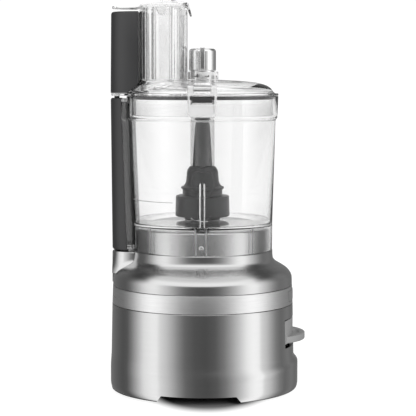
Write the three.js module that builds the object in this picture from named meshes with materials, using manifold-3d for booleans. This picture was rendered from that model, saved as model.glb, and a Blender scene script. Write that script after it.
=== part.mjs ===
// Food processor: a round motor base, a clear three-litre bowl with a column handle, and a clear lid
// with an oval feed tube, two nested pushers, a latch and a slicing dial.
// Millimetres, +Z up, the counter at z = 0. The controls face +X, the handle is at -X, the latch at -Y.
// Every piece is drawn about the drive axis, and one group then centres the footprint on the origin.
import * as THREE from "three";
import { mergeVertices } from "three/addons/utils/BufferGeometryUtils.js";
import Module from "manifold-3d";

const wasm = await Module();
wasm.setup();

// ---------------------------------------------------------------- driving dimensions

const FACETS = 36; // facets of every large round piece, so that nested walls stay parallel
const GAP = 0.4; // least clearance between neighbouring pieces
const WALL = 2.6; // moulded wall

// motor base
const SKIRT_R = 109;
const SKIRT_SHIFT = 2; // the skirt stands this much forward of the drive axis
const SKIRT_FOOT_Z = 2.5;
const BODY_FOOT_R = 106;
const BODY_TOP_R = 104.2;
const BAND_Z = [101, 121];
const PLATE_Z = [12, 14.5]; // base plate
const NECK_R = 80.7;
const NECK_TOP_Z = 161.6;
const PEDESTAL_R = 76.5;
const PEDESTAL_TOP_Z = 188;

// control paddle
const PADDLE_TIP = 118.5;
const PADDLE_HALF_WIDTH = 47;
const PADDLE_Z = [57.5, 84.5];
const PADDLE_SLOT_Z = [53.4, 86];
const PADDLE_PIVOT = { x: 95, z: 72 };

// drive train
const SHAFT_R = 8.2;
const SHAFT_HEX_R = 7;
const BELT_Z = [82, 90];
const DRIVEN_R = 42;
const PINION_R = 10;
const MOTOR_X = -62;
const ROTOR_SHAFT_R = 4;
const ROTOR_BORE = ROTOR_SHAFT_R + GAP;
const BOARD_Z = 24;
const HUB_BORE = 13.4; // the bearings and the pedestal's hole round the shaft

// bowl and blade
const BOWL_FOOT_Z = 162;
const BOWL_FOOT_R = 80.2;
const FLOOR_Z = 193.3;
const BOWL_WALL_TOP = { r: 83.8, z: 310.4 }; // the collar stands out from here up
const COLLAR_R = 86.9;
const BOWL_TOP_Z = 338;
const CHIMNEY_TOP_Z = 222;
const BLADE_TIP_R = 73.8;

// handle column: one ellipse shared by the grip, the chute housing and the rear post
const COLUMN_X = -73;
const COLUMN_DEPTH = 31.5;
const COLUMN_HALF_WIDTH = 24;
const GRIP_Z = [162, 335.9];
const GRIP_INNER = { top: -93, foot: -86.4 }; // the grip's inner face leans with the bowl's wall
const ROD_X = -98;
const ROD_BORE_R = 3.7;

// lid and feed tube
const LID_Z = 338.4;
const FLANGE_TOP_Z = 341;
const TUBE_X = -44.3;
const TUBE_HALF_DEPTH = 27.2;
const TUBE_HALF_WIDTH = 44;
const TUBE_TOP_Z = 435.5;
const FLARE = { topZ: 354.4, reach: 14.6 }; // the tube's foot spreads over the lid
const TUBE_POWER = 2.6; // exponent of the oval
const HOUSING_TOP_Z = 433.5;
const PUSHER_FOOT_Z = 353;
const SMALL_X = -46.6;
const SMALL_R = 12.4;

// latch and dial
const LATCH_PIN = { y: -87.5, z: 346 };
const LATCH_HALF_WIDTH = 16;
const DIAL_R = 15.3;

// The footprint reaches from the back of the skirt to the tip of the paddle.
const AXIS_X = -(PADDLE_TIP - (SKIRT_R - SKIRT_SHIFT)) / 2;

// ---------------------------------------------------------------- finishes

const finish = (color, roughness, metalness, opacity = 1) =>
  new THREE.MeshStandardMaterial({ color, roughness, metalness, opacity, transparent: opacity < 1 });

const silver = finish(0x9b9b9b, 0.3, 1);
const brightBand = finish(0xb4b4b4, 0.28, 1);
const clear = finish(0xe4e6e6, 0.05, 0, 0.35);
const darkGrip = finish(0x3a3a3b, 0.45, 0);
const bladeGrey = finish(0x4a4b4c, 0.5, 0);
const sealGrey = finish(0x2b2b2c, 0.8, 0);
const rubber = finish(0x1c1c1c, 0.9, 0);
const blackPlastic = finish(0x222222, 0.6, 0);
const steel = finish(0xc4c4c4, 0.25, 1);
const laminations = finish(0x6d6a66, 0.5, 1);
const copper = finish(0xb06a3c, 0.35, 1);
const zinc = finish(0xa8a8a6, 0.45, 1);
const board = finish(0x2f5a3a, 0.6, 0);
const satinDial = finish(0xd2d2d2, 0.2, 1);

// ---------------------------------------------------------------- shape helpers

/** A closed geometry as a manifold solid that faces outwards. */
function solid(geometry) {
  const bare = geometry.index ? geometry.toNonIndexed() : geometry.clone();
  for (const name of Object.keys(bare.attributes)) {
    if (name !== "position") bare.deleteAttribute(name);
  }
  const merged = mergeVertices(bare, 1e-3);
  const corners = merged.index.array;
  const kept = [];
  for (let i = 0; i < corners.length; i += 3) {
    const [a, b, c] = corners.slice(i, i + 3);
    if (a !== b && b !== c && c !== a) kept.push([a, b, c]);
  }
  const build = (triangles) =>
    new wasm.Manifold(
      new wasm.Mesh({
        numProp: 3,
        vertProperties: merged.attributes.position.array,
        triVerts: new Uint32Array(triangles.flat()),
      }),
    );
  const made = build(kept);
  return made.volume() < 0 ? build(kept.map(([a, b, c]) => [a, c, b])) : made;
}

/** A manifold solid back as a geometry that can be drawn. */
function geometryOf(body) {
  const mesh = body.getMesh();
  const geometry = new THREE.BufferGeometry();
  geometry.setAttribute("position", new THREE.BufferAttribute(mesh.vertProperties, 3));
  geometry.setIndex(new THREE.BufferAttribute(mesh.triVerts, 1));
  geometry.computeVertexNormals();
  return geometry;
}

/** A ring or solid turned about Z from [radius, z] points; a profile off the axis closes on itself. */
function turned(profile, facets = FACETS) {
  const points = profile.map(([r, z]) => new THREE.Vector2(r, z));
  const closed = profile[0][0] === 0 && profile.at(-1)[0] === 0;
  if (!closed) points.push(points[0].clone());
  return solid(new THREE.LatheGeometry(points, facets).rotateX(Math.PI / 2));
}

/** A plain tube about Z. */
const tube = (inner, outer, z0, z1, facets = FACETS) =>
  turned([[inner, z0], [outer, z0], [outer, z1], [inner, z1]], facets);

/** A cylinder along "x", "y" or "z", from one coordinate to the other. */
function cylinder(radius, from, to, along = "z", facets = 16) {
  const geometry = new THREE.CylinderGeometry(radius, radius, to - from, facets);
  geometry.translate(0, (from + to) / 2, 0);
  if (along === "z") geometry.rotateX(Math.PI / 2);
  if (along === "x") geometry.rotateZ(-Math.PI / 2);
  return solid(geometry);
}

/** A box between two coordinates on each axis. */
function block([x0, x1], [y0, y1], [z0, z1]) {
  const geometry = new THREE.BoxGeometry(x1 - x0, y1 - y0, z1 - z0);
  return solid(geometry.translate((x0 + x1) / 2, (y0 + y1) / 2, (z0 + z1) / 2));
}

/** A flat outline raised from z0 to z1. */
function prism(shape, z0, z1, curveSegments = 12) {
  const geometry = new THREE.ExtrudeGeometry(shape, { depth: z1 - z0, bevelEnabled: false, curveSegments });
  return solid(geometry.translate(0, 0, z0));
}

/** An outline in the XZ plane drawn out along Y. */
function sideways(shape, y0, y1, curveSegments = 12) {
  const geometry = new THREE.ExtrudeGeometry(shape, { depth: y1 - y0, bevelEnabled: false, curveSegments });
  return solid(geometry.rotateX(Math.PI / 2).translate(0, y1, 0));
}

const polygon = (points) => new THREE.Shape(points.map(([x, y]) => new THREE.Vector2(x, y)));

/** The feed tube's oval, grown by an offset. */
function oval(offset, z0, z1, count = 28) {
  const points = [];
  for (let i = 0; i < count; i += 1) {
    const angle = (2 * Math.PI * i) / count;
    const [c, s] = [Math.cos(angle), Math.sin(angle)];
    const bend = (value) => Math.sign(value) * Math.abs(value) ** (2 / TUBE_POWER);
    points.push([TUBE_X + (TUBE_HALF_DEPTH + offset) * bend(c), (TUBE_HALF_WIDTH + offset) * bend(s)]);
  }
  return prism(polygon(points), z0, z1);
}

/** The handle column's ellipse, grown by an offset. */
function column(offset, z0, z1) {
  const shape = new THREE.Shape();
  shape.absellipse(COLUMN_X, 0, COLUMN_DEPTH + offset, COLUMN_HALF_WIDTH + offset, 0, 2 * Math.PI);
  return prism(shape, z0, z1, 14);
}

/** A profile of [radius, z] points moved outwards and upwards. */
const grown = (profile, by) => profile.map(([r, z]) => [r + by, z + by]);

const turnedBy = (body, degrees) => body.rotate([0, 0, degrees]);
const at = (body, x, y, z = 0) => body.translate([x, y, z]);

// Places on a circle about the drive axis.
const onCircle = (radius, degrees) => [
  radius * Math.cos((degrees * Math.PI) / 180),
  radius * Math.sin((degrees * Math.PI) / 180),
];

const groups = {};
const product = new THREE.Group();
for (const name of ["base", "rotor", "drive", "bowl", "rod", "plunger", "blade", "lid", "latch", "dial",
  "pusher", "smallPusher", "paddle"]) {
  groups[name] = new THREE.Group();
  product.add(groups[name]);
}

function add(group, name, body, material) {
  const mesh = new THREE.Mesh(geometryOf(body), material);
  mesh.name = name;
  groups[group].add(mesh);
}

// ---------------------------------------------------------------- motor base, outside

// The shoulder and neck of the upper housing, from the trim band to the ledge that the bowl sits on.
const SHOULDER = [
  [103.2, BAND_Z[1] + GAP], [102.7, 130], [100.6, 136.5], [96.5, 140.6], [90.9, 143.9],
  [84.6, 146.8], [81.6, 150.2], [NECK_R, 155], [NECK_R, NECK_TOP_Z],
];

const SCREW_ANGLES = [20, 160, 200, 340];
const SCREW_CIRCLE_R = 96.5;
const GLAND_ANGLE = 152;
const GLAND_Z = 24;

function baseHousing() {
  const innerR = 102.8;
  const backR = 98.6; // wall behind the trim band
  let body = turned([
    [innerR, SKIRT_FOOT_Z + 3], [BODY_FOOT_R, SKIRT_FOOT_Z + 3], [BODY_FOOT_R, 38],
    [BODY_TOP_R, BAND_Z[0] - GAP], [101.4, BAND_Z[0] - GAP], [101.4, BAND_Z[1]],
    [backR, BAND_Z[1]], [backR, BAND_Z[0] - 4], [innerR, 40],
  ]);
  const skirt = turned([
    [103.5, SKIRT_FOOT_Z], [SKIRT_R - 1.5, SKIRT_FOOT_Z], [SKIRT_R, SKIRT_FOOT_Z + 1.8],
    [SKIRT_R, 30.5], [SKIRT_R - 2.6, 35.5], [103.5, 36],
  ]);
  body = body.add(at(skirt, SKIRT_SHIFT, 0));
  for (const angle of SCREW_ANGLES) {
    const [x, y] = onCircle(SCREW_CIRCLE_R, angle);
    body = body.add(at(cylinder(7, PLATE_Z[1] + GAP, 34, "z", 12), x, y));
  }
  for (const angle of SCREW_ANGLES) {
    const [x, y] = onCircle(SCREW_CIRCLE_R, angle);
    body = body.subtract(at(cylinder(2.2, 0, 30, "z", 10), x, y));
  }
  // A finger recess on each side, under the skirt.
  const recess = polygon([
    [-50.5, -1], [43.3, -1], [43.3, SKIRT_FOOT_Z], [37.5, 10], [-45.5, 10], [-50.5, SKIRT_FOOT_Z],
  ]);
  body = body.subtract(sideways(recess, -130, 130));
  // The paddle's window, and the hole for the cord gland.
  body = body.subtract(block([80, 125], [-PADDLE_HALF_WIDTH - 1, PADDLE_HALF_WIDTH + 1], PADDLE_SLOT_Z));
  return body.subtract(glandPin(7.4));
}

/** A cylinder through the wall where the cord comes in. */
function glandPin(radius) {
  return at(turnedBy(cylinder(radius, 90, 125, "x", 12), GLAND_ANGLE), 0, 0, GLAND_Z);
}

function cordGland() {
  const flange = cylinder(9.2, 107.7, 109.5, "x", 16);
  const body = cylinder(6.9, 98, 108, "x", 12);
  const bore = cylinder(3.8, 90, 120, "x", 12);
  return at(turnedBy(flange.add(body).subtract(bore), GLAND_ANGLE), 0, 0, GLAND_Z);
}

function topHousing() {
  const pedestalInner = PEDESTAL_R - WALL;
  const inside = [
    [HUB_BORE, PEDESTAL_TOP_Z - WALL], [pedestalInner, PEDESTAL_TOP_Z - WALL],
    [pedestalInner, NECK_TOP_Z - WALL], [78, NECK_TOP_Z - WALL], [78, 148], [94.5, 138.2], [99.2, 130],
    [99.6, BAND_Z[1] + GAP],
  ];
  const top = [
    [PEDESTAL_R, NECK_TOP_Z], [PEDESTAL_R, PEDESTAL_TOP_Z - 2.4], [PEDESTAL_R - 2.4, PEDESTAL_TOP_Z],
    [HUB_BORE, PEDESTAL_TOP_Z],
  ];
  return turned([...SHOULDER, ...top, ...inside]);
}

/** The tower that the handle's foot stands on; it holds the interlock switch. */
function rearPost() {
  const top = GRIP_Z[0] - 1.2;
  const outside = column(-0.4, 122, top).intersect(block([-120, -NECK_R - GAP], [-40, 40], [122, top]));
  const inside = column(-2.2, 120, top - 3).intersect(block([-120, -NECK_R - 4], [-40, 40], [120, top - 3]));
  const foot = BAND_Z[1] + 1;
  const shoulder = turned([[0, foot], [104.6, foot], ...grown(SHOULDER, GAP), [0, NECK_TOP_Z + GAP]]);
  const bore = at(cylinder(ROD_BORE_R, 120, 170), ROD_X, 0);
  return outside.subtract(inside).subtract(shoulder).subtract(bore);
}

function basePlate() {
  let body = turned([[0, PLATE_Z[0]], [100.8, PLATE_Z[0]], [100.8, PLATE_Z[1]], [0, PLATE_Z[1]]]);
  for (const [x, y] of [[-8, -38], [-8, 38], [52, -38], [52, 38]]) {
    body = body.add(at(cylinder(3, PLATE_Z[1] - 1, BOARD_Z - GAP, "z", 8), x, y));
  }
  for (let i = 0; i < 6; i += 1) {
    body = body.subtract(block([-82 + i * 8, -78.8 + i * 8], [-22, 22], [PLATE_Z[0] - 1, PLATE_Z[1] + 1]));
  }
  for (const angle of SCREW_ANGLES) {
    const [x, y] = onCircle(SCREW_CIRCLE_R, angle);
    body = body.subtract(at(cylinder(2.4, 10, 16, "z", 10), x, y));
  }
  return body;
}

/** A sector of a ring about the drive axis, between two angles. */
function ringSector(inner, outer, [z0, z1], [from, to]) {
  const wedge = polygon([[0, 0], onCircle(130, from), onCircle(130, (from + to) / 2), onCircle(130, to)]);
  return tube(inner, outer, z0, z1, 96).intersect(prism(wedge, z0 - 1, z1 + 1));
}

/** The plain plaque in the middle of the front; it lies in a shallow pocket of the trim band. */
function namePlate() {
  return ringSector(BODY_TOP_R - 1.2, BODY_TOP_R + 0.3, [105.4, 116.6], [-19, 19]);
}

function trimBand() {
  const ring = turned([
    [101.8, BAND_Z[0]], [BODY_TOP_R, BAND_Z[0]], [103.4, BAND_Z[1]], [101.8, BAND_Z[1]],
  ]);
  const pocket = ringSector(BODY_TOP_R - 1.2 - GAP, 120, [105, 117], [-19.4, 19.4]);
  const slit = ringSector(102.9, 120, [109.4, 110.8], [148, 212]);
  return ring.subtract(pocket).subtract(slit);
}

add("base", "base_housing", baseHousing(), silver);
add("base", "trim_band", trimBand(), brightBand);
add("base", "name_plate", namePlate(), brightBand);
add("base", "top_housing", topHousing(), silver);
add("base", "rear_post", rearPost(), silver);
add("base", "base_plate", basePlate(), blackPlastic);
add("base", "cord_gland", cordGland(), rubber);

const FOOT_NAMES = { front_left: 315, front_right: 45, rear_left: 225, rear_right: 135 };
for (const [corner, angle] of Object.entries(FOOT_NAMES)) {
  const [x, y] = onCircle(86, angle);
  const pad = turned([[0, 0], [10, 0], [11, 1.2], [11, PLATE_Z[0] - GAP], [0, PLATE_Z[0] - GAP]], 16);
  add("base", `foot_${corner}`, at(pad, x, y), rubber);
}
SCREW_ANGLES.forEach((angle, i) => {
  const [x, y] = onCircle(SCREW_CIRCLE_R, angle);
  const head = cylinder(4.2, PLATE_Z[0] - 2.6, PLATE_Z[0] - GAP, "z", 12);
  const shank = cylinder(1.7, PLATE_Z[0] - 1, 28, "z", 8);
  add("base", `base_screw_${i + 1}`, at(head.add(shank), x, y), steel);
});

// ---------------------------------------------------------------- motor and drive

function chassisPlate() {
  let body = turned([[21, 95], [97.8, 95], [97.8, 97.5], [21, 97.5]]);
  body = body.subtract(block([58, 100], [-60, 60], [90, 100]));
  return body.subtract(at(cylinder(6, 90, 100), MOTOR_X, 0));
}

function bearingHousing() {
  return turned([
    [14, 98], [34, 98], [34, 102], [20, 104], [20, 183], [11, 183], [11, 180.4], [14, 180.4],
  ], 24);
}

function driveBelt() {
  const loop = (extra) => {
    const big = DRIVEN_R + extra;
    const small = PINION_R + extra;
    const wrap = Math.PI - Math.acos((big - small) / -MOTOR_X);
    const shape = new THREE.Shape();
    shape.absarc(0, 0, big, -wrap, wrap, false);
    shape.absarc(MOTOR_X, 0, small, wrap, 2 * Math.PI - wrap, false);
    return shape;
  };
  return prism(loop(3), ...BELT_Z, 16).subtract(prism(loop(0.5), BELT_Z[0] - 1, BELT_Z[1] + 1, 16));
}

function pulley(rim, bore, facets) {
  const [low, high] = [BELT_Z[0] - 2, BELT_Z[1] + 2];
  return turned([
    [bore, low], [rim + 1.5, low], [rim + 1.5, BELT_Z[0] - 0.5], [rim, BELT_Z[0] - 0.5],
    [rim, BELT_Z[1] + 0.5], [rim + 1.5, BELT_Z[1] + 0.5], [rim + 1.5, high], [bore, high],
  ], facets);
}

function drivenPulley() {
  const body = pulley(DRIVEN_R, SHAFT_R + GAP, 28);
  return body.subtract(tube(16, 36, BELT_Z[0], 100, 20));
}

function coolingFan() {
  let body = tube(ROTOR_BORE, 31, 17, 18.6, 24).add(tube(ROTOR_BORE, 8, 17, 24, 12));
  for (let i = 0; i < 8; i += 1) {
    body = body.add(turnedBy(block([7, 30], [-0.8, 0.8], [18, 24]), i * 45));
  }
  return at(body, MOTOR_X, 0);
}

function motorBracket(z0, z1) {
  const plate = turned([[4.6, z0], [33, z0], [33, z1], [4.6, z1]], 24);
  return at(plate.intersect(block([-24, 24], [-34, 34], [z0, z1])), MOTOR_X, 0);
}

function motorUpperBracket() {
  let body = motorBracket(75.5, 78);
  for (const side of [-1, 1]) {
    body = body.add(block([MOTOR_X - 12, MOTOR_X - 4], [side * 29 - 3, side * 29 + 3], [77, 94.6]));
    for (const x of [MOTOR_X - 18, MOTOR_X + 18]) {
      body = body.add(at(cylinder(2.5, 66.4, 76, "z", 8), x, side * 22));
    }
  }
  return body;
}

function motorStator() {
  const lamination = turned([[22.5, 30], [33.5, 30], [33.5, 66], [22.5, 66]], 24);
  return at(lamination.intersect(block([-29, 29], [-40, 40], [30, 66])), MOTOR_X, 0);
}

add("base", "chassis_plate", chassisPlate(), zinc);
add("base", "bearing_housing", bearingHousing(), zinc);
add("base", "upper_bearing", tube(SHAFT_R + GAP, HUB_BORE, 169, 180, 20), steel);
add("base", "lower_bearing", tube(SHAFT_R + GAP, HUB_BORE, 104, 115, 20), steel);
add("base", "shaft_seal", tube(SHAFT_R + GAP, 10.6, 183.4, 188.6, 20), rubber);
add("base", "drive_belt", driveBelt(), rubber);
add("base", "motor_stator", motorStator(), laminations);
add("base", "motor_upper_bracket", motorUpperBracket(), zinc);
add("base", "motor_lower_bracket", motorBracket(26.6, 29.6), zinc);
for (const [side, y] of [["left", -1], ["right", 1]]) {
  const holder = block([MOTOR_X - 4, MOTOR_X + 4], [y * 18.5 - 7.5, y * 18.5 + 7.5], [67.4, 74.4]);
  add("base", `brush_holder_${side}`, holder, copper);
}
add("base", "control_board", block([-14, 58], [-44, 44], [BOARD_Z, BOARD_Z + 1.8]), board);
add("base", "speed_switch", block([62.6, 85.2], [-13, 13], [58, 84]), blackPlastic);

add("rotor", "motor_shaft", at(cylinder(ROTOR_SHAFT_R, 15.4, 93.5, "z", 12), MOTOR_X, 0), steel);
add("rotor", "armature", at(tube(ROTOR_BORE, 21.6, 31, 65, 24), MOTOR_X, 0), laminations);
add("rotor", "commutator", at(tube(ROTOR_BORE, 10, 67, 74.8, 16), MOTOR_X, 0), copper);
add("rotor", "motor_pulley", at(pulley(PINION_R, ROTOR_BORE, 16), MOTOR_X, 0), zinc);
add("rotor", "cooling_fan", coolingFan(), blackPlastic);

function driveShaft() {
  const round = cylinder(SHAFT_R, 76, 223, "z", 20);
  const hex = cylinder(SHAFT_HEX_R, 222, 248, "z", 6);
  return round.add(hex);
}
add("drive", "drive_shaft", driveShaft(), steel);
add("drive", "driven_pulley", drivenPulley(), blackPlastic);

// ---------------------------------------------------------------- control paddle

function paddleTray() {
  const room = PADDLE_HALF_WIDTH + 1.2;
  const outside = block([60, 105], [-room - 2, room + 2], [42, 94]);
  const inside = block([62, 110], [-room, room], [44, 92]);
  const wall = turned([[0, 30], [102, 30], [102, 40], [97.8, 97], [0, 97]]);
  const { x, z } = PADDLE_PIVOT;
  const lugs = [-1, 1].map((side) => block([61, x + 4], [side * 25 - 2, side * 25 + 2], [z - 5, z + 5]));
  return lugs
    .reduce((body, lug) => body.add(lug), outside.subtract(inside))
    .intersect(wall)
    .subtract(at(cylinder(2.9, -60, 60, "y", 12), x, 0, z));
}

function controlPaddle() {
  const half = PADDLE_HALF_WIDTH;
  const face = tube(101.6, 104.4, ...PADDLE_Z, 64).intersect(block([60, 125], [-half, half], PADDLE_Z));
  // The thumb shelf is an arc in plan, from one end of the face to the other.
  const shelfR = 50;
  const shape = new THREE.Shape();
  shape.absarc(PADDLE_TIP - shelfR, 0, shelfR, -Math.PI / 2.9, Math.PI / 2.9, false);
  const shelf = prism(shape, 58.5, 66, 10).intersect(block([60, 125], [-half, half], [58, 67]));
  const { x, z } = PADDLE_PIVOT;
  const arms = [-1, 1].map((side) => block([x, 102.4], [side * 14 - 3, side * 14 + 3], [z - 4, z + 4]));
  const barrel = at(cylinder(4.8, -22, 22, "y", 12), x, 0, z);
  const nub = block([85.8, x], [-2, 2], [z - 2, z + 2]); // works the switch behind it
  const bore = at(cylinder(2.9, -60, 60, "y", 12), x, 0, z);
  return arms
    .reduce((body, arm) => body.add(arm), face.add(barrel).add(nub))
    .add(shelf.subtract(cylinder(102.6, 50, 80, "z", 64)))
    .subtract(bore);
}

add("base", "paddle_tray", paddleTray(), blackPlastic);
add("base", "paddle_pin", at(cylinder(2.4, -28, 28, "y", 12), PADDLE_PIVOT.x, 0, PADDLE_PIVOT.z), steel);
add("paddle", "control_paddle", controlPaddle(), silver);

// ---------------------------------------------------------------- bowl, handle and interlock

function bowl() {
  const wall = [
    [BOWL_FOOT_R, BOWL_FOOT_Z], [80.5, 195], [BOWL_WALL_TOP.r, BOWL_WALL_TOP.z], [85.9, 313.2],
    [COLLAR_R, BOWL_TOP_Z],
  ];
  const inside = [
    [84.2, BOWL_TOP_Z], [83.5, 314.4], [81.3, 311.6], [78, 199], [75.5, FLOOR_Z + 0.6], [70, FLOOR_Z],
    [13.4, FLOOR_Z], [12.9, CHIMNEY_TOP_Z], [10.6, CHIMNEY_TOP_Z], [10.6, FLOOR_Z - WALL],
    [77.6, FLOOR_Z - WALL], [77.6, BOWL_FOOT_Z],
  ];
  const rib = block([-2.4, 2.4], [-79.4, -75.8], [FLOOR_Z - 1, 242]);
  return turned([...wall, ...inside]).add(rib);
}

function handleGrip() {
  const [low, high] = GRIP_Z;
  const side = polygon([[-120, low], [GRIP_INNER.foot, low], [GRIP_INNER.top, high], [-120, high]]);
  const bore = at(cylinder(ROD_BORE_R, 150, 350), ROD_X, 0);
  return column(0, low, high).intersect(sideways(side, -40, 40)).subtract(bore);
}

/** The clear half of the handle, between the grip and the bowl: two side walls with a foot and a top. */
function handleFrame() {
  const [low, high] = [164, 335.5];
  const side = polygon([
    [GRIP_INNER.foot + GAP, low], [-70, low], [-70, high], [GRIP_INNER.top + GAP, high],
  ]);
  const bowlSide = turned([
    [0, 150], [BOWL_FOOT_R + GAP, 150], [80.5 + GAP, 195], [BOWL_WALL_TOP.r + GAP, BOWL_WALL_TOP.z - 1],
    [85.9 + GAP, 312.2], [COLLAR_R + GAP, 345], [0, 345],
  ]);
  const hollow = block([-110, -70], [-13.5, 13.5], [low + 4, high - 4]);
  return column(-0.8, low, high).intersect(sideways(side, -40, 40)).subtract(hollow).subtract(bowlSide);
}

/** The bar on the collar that the latch hooks under. */
function catchBar() {
  const bar = block([-10.8, 10.8], [-88.2, -80], [331, 337]);
  return bar.subtract(cylinder(COLLAR_R + GAP, 320, 345, "z", FACETS));
}

add("bowl", "bowl", bowl(), clear);
add("bowl", "catch_bar", catchBar(), darkGrip);
add("bowl", "handle_frame", handleFrame(), clear);
add("bowl", "handle_grip", handleGrip(), darkGrip);

const PLUNGER_TOP_Z = 161.2;
add("rod", "interlock_rod", at(cylinder(3, PLUNGER_TOP_Z + GAP, 338, "z", 12), ROD_X, 0), blackPlastic);
add("plunger", "interlock_plunger", at(cylinder(2.6, 151.2, PLUNGER_TOP_Z, "z", 12), ROD_X, 0), blackPlastic);
add("base", "interlock_switch", block([-100.6, -95.4], [-6.5, 6.5], [142.2, 150.8]), blackPlastic);

// ---------------------------------------------------------------- chopping blade

/** One crescent blade in plan, reaching out along one side from inside the hub. */
function crescent(offset, [z0, z1], side) {
  const shape = new THREE.Shape();
  shape.moveTo(24 - offset, -11 - offset);
  shape.quadraticCurveTo(60, -19 - offset, BLADE_TIP_R + offset, 6 + offset);
  shape.quadraticCurveTo(52, 3 + offset, 24 - offset, 11 + offset);
  return turnedBy(prism(shape, z0 - offset, z1 + offset, 8), side);
}

const UPPER_BLADE_Z = [219.2, 220.6];
const LOWER_BLADE_Z = [199.4, 200.8];

function bladeHub() {
  const outside = turned([
    [0, 194], [21, 194], [21, 197.6], [31.6, 197.8], [30.9, 221.8], [23, 222.2], [23, 229], [24.8, 230.6],
    [24.8, 232.4], [21, 233.4], [18, 241], [15.2, 255.7], [10.6, 256], [8.2, 304], [6.6, 311], [0, 311],
  ], 28);
  const bore = cylinder(15, 190, 225, "z", 24);
  const socket = cylinder(SHAFT_HEX_R + 0.6, 224, 252, "z", 6);
  return outside
    .subtract(bore)
    .subtract(socket)
    .subtract(crescent(0.35, UPPER_BLADE_Z, 90))
    .subtract(crescent(0.35, LOWER_BLADE_Z, -90));
}

add("blade", "blade_hub", bladeHub(), bladeGrey);
add("blade", "upper_blade", crescent(0, UPPER_BLADE_Z, 90), steel);
add("blade", "lower_blade", crescent(0, LOWER_BLADE_Z, -90), steel);

// ---------------------------------------------------------------- lid, feed tube and dial

const DOME = [
  [82.7, FLANGE_TOP_Z], [79.6, 345.8], [75, 349.4], [67.3, 352.2], [49.8, 354.7], [32, 356], [19, 356.5],
];

function lid() {
  const body = turned([
    [8, 354], [8, 356.5], ...[...DOME].reverse(), [COLLAR_R, FLANGE_TOP_Z], [COLLAR_R, LID_Z],
    [81.2, LID_Z], [81.2, 316], [79, 316], [79, 340], [75.5, 345], [66.5, 349.6], [32, 353.2],
  ]);
  // A tongue covers the top of the handle and presses the interlock rod.
  const tongue = column(0, LID_Z, FLANGE_TOP_Z).intersect(block([-120, -80], [-40, 40], [330, 345]));
  const ring = cylinder(80, LID_Z - 1, FLANGE_TOP_Z + 1, "z", FACETS);
  // The knuckle of the latch's hinge.
  const knuckle = at(cylinder(4, -9.4, 9.4, "x", 16), 0, LATCH_PIN.y, LATCH_PIN.z);
  const lug = block([-9.4, 9.4], [LATCH_PIN.y, -79], [FLANGE_TOP_Z - 1, LATCH_PIN.z + 4]);
  const domeSpace = turned([[0, 330], [79, 330], [79, 340], [75.5, 345], [0, 345]]);
  const pinHole = at(cylinder(1.8, -20, 20, "x", 10), 0, LATCH_PIN.y, LATCH_PIN.z);
  return body
    .add(tongue.subtract(ring))
    .add(knuckle.add(lug).subtract(domeSpace))
    .subtract(pinHole)
    .subtract(oval(0.35, 320, 360));
}

/** The tube's spreading foot, grown by an offset. */
function tubeFlare(offset) {
  const [low, high] = [FLANGE_TOP_Z + GAP, FLARE.topZ];
  return wasm.Manifold.hull([oval(FLARE.reach + offset, low, low + 0.1), oval(offset, high - 0.1, high)]);
}

/** All that lies under the lid's dome, grown by an offset. */
const underDome = (offset) => turned([[0, 300], [84, 300], ...grown(DOME, offset), [0, 356.5 + offset]]);

function feedChute() {
  const hollow = oval(-2.4, LID_Z - 1, TUBE_TOP_Z + 1);
  return oval(0, LID_Z, TUBE_TOP_Z).add(tubeFlare(0).subtract(underDome(GAP))).subtract(hollow);
}

function chuteHousing() {
  const [low, high] = [FLANGE_TOP_Z + GAP, HOUSING_TOP_Z];
  const cut = (body) => body.intersect(block([-120, COLUMN_X + 0.4], [-40, 40], [300, 460]));
  const outside = cut(column(-0.9, low, high));
  const inside = cut(column(-3.3, low - 1, high - 2.4));
  const lidSpace = oval(0.5, 300, 460).add(tubeFlare(0.5)).add(underDome(0.9));
  return outside.subtract(inside).subtract(lidSpace);
}

add("lid", "lid", lid(), clear);
add("lid", "feed_chute", feedChute(), clear);
add("lid", "chute_housing", chuteHousing(), darkGrip);
add("lid", "lid_gasket", turned([[81.6, 333.6], [83.3, 334.1], [83.3, 336.8], [81.6, 337.3]]), sealGrey);
add("lid", "dial_ring", tube(16.1, 18.1, 357, 365.6, 32).subtract(oval(0.35, 350, 370)), clear);
add("lid", "latch_pin", at(cylinder(1.4, -15.4, 15.4, "x", 10), 0, LATCH_PIN.y, LATCH_PIN.z), steel);

function sliceDial() {
  const knob = turned([
    [0, 351.4], [7, 351.4], [7, 357.4], [13.6, 357.4], [13.6, 366.6], [DIAL_R, 367.2], [DIAL_R, 389.8],
    [13.8, 391.6], [0, 392],
  ], 32);
  const bar = block([-2.8, 2.8], [-17, 17], [367.8, 393.4]);
  return knob.add(bar.intersect(cylinder(16.4, 360, 400, "z", 32)));
}

function dialSleeve() {
  return turned([[0, 347.6], [12.4, 347.6], [12.4, 257.4], [14, 257.4], [14, 351], [0, 351]], 24);
}

add("dial", "slice_dial", sliceDial(), satinDial);
add("dial", "dial_sleeve", dialSleeve(), clear);

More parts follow.
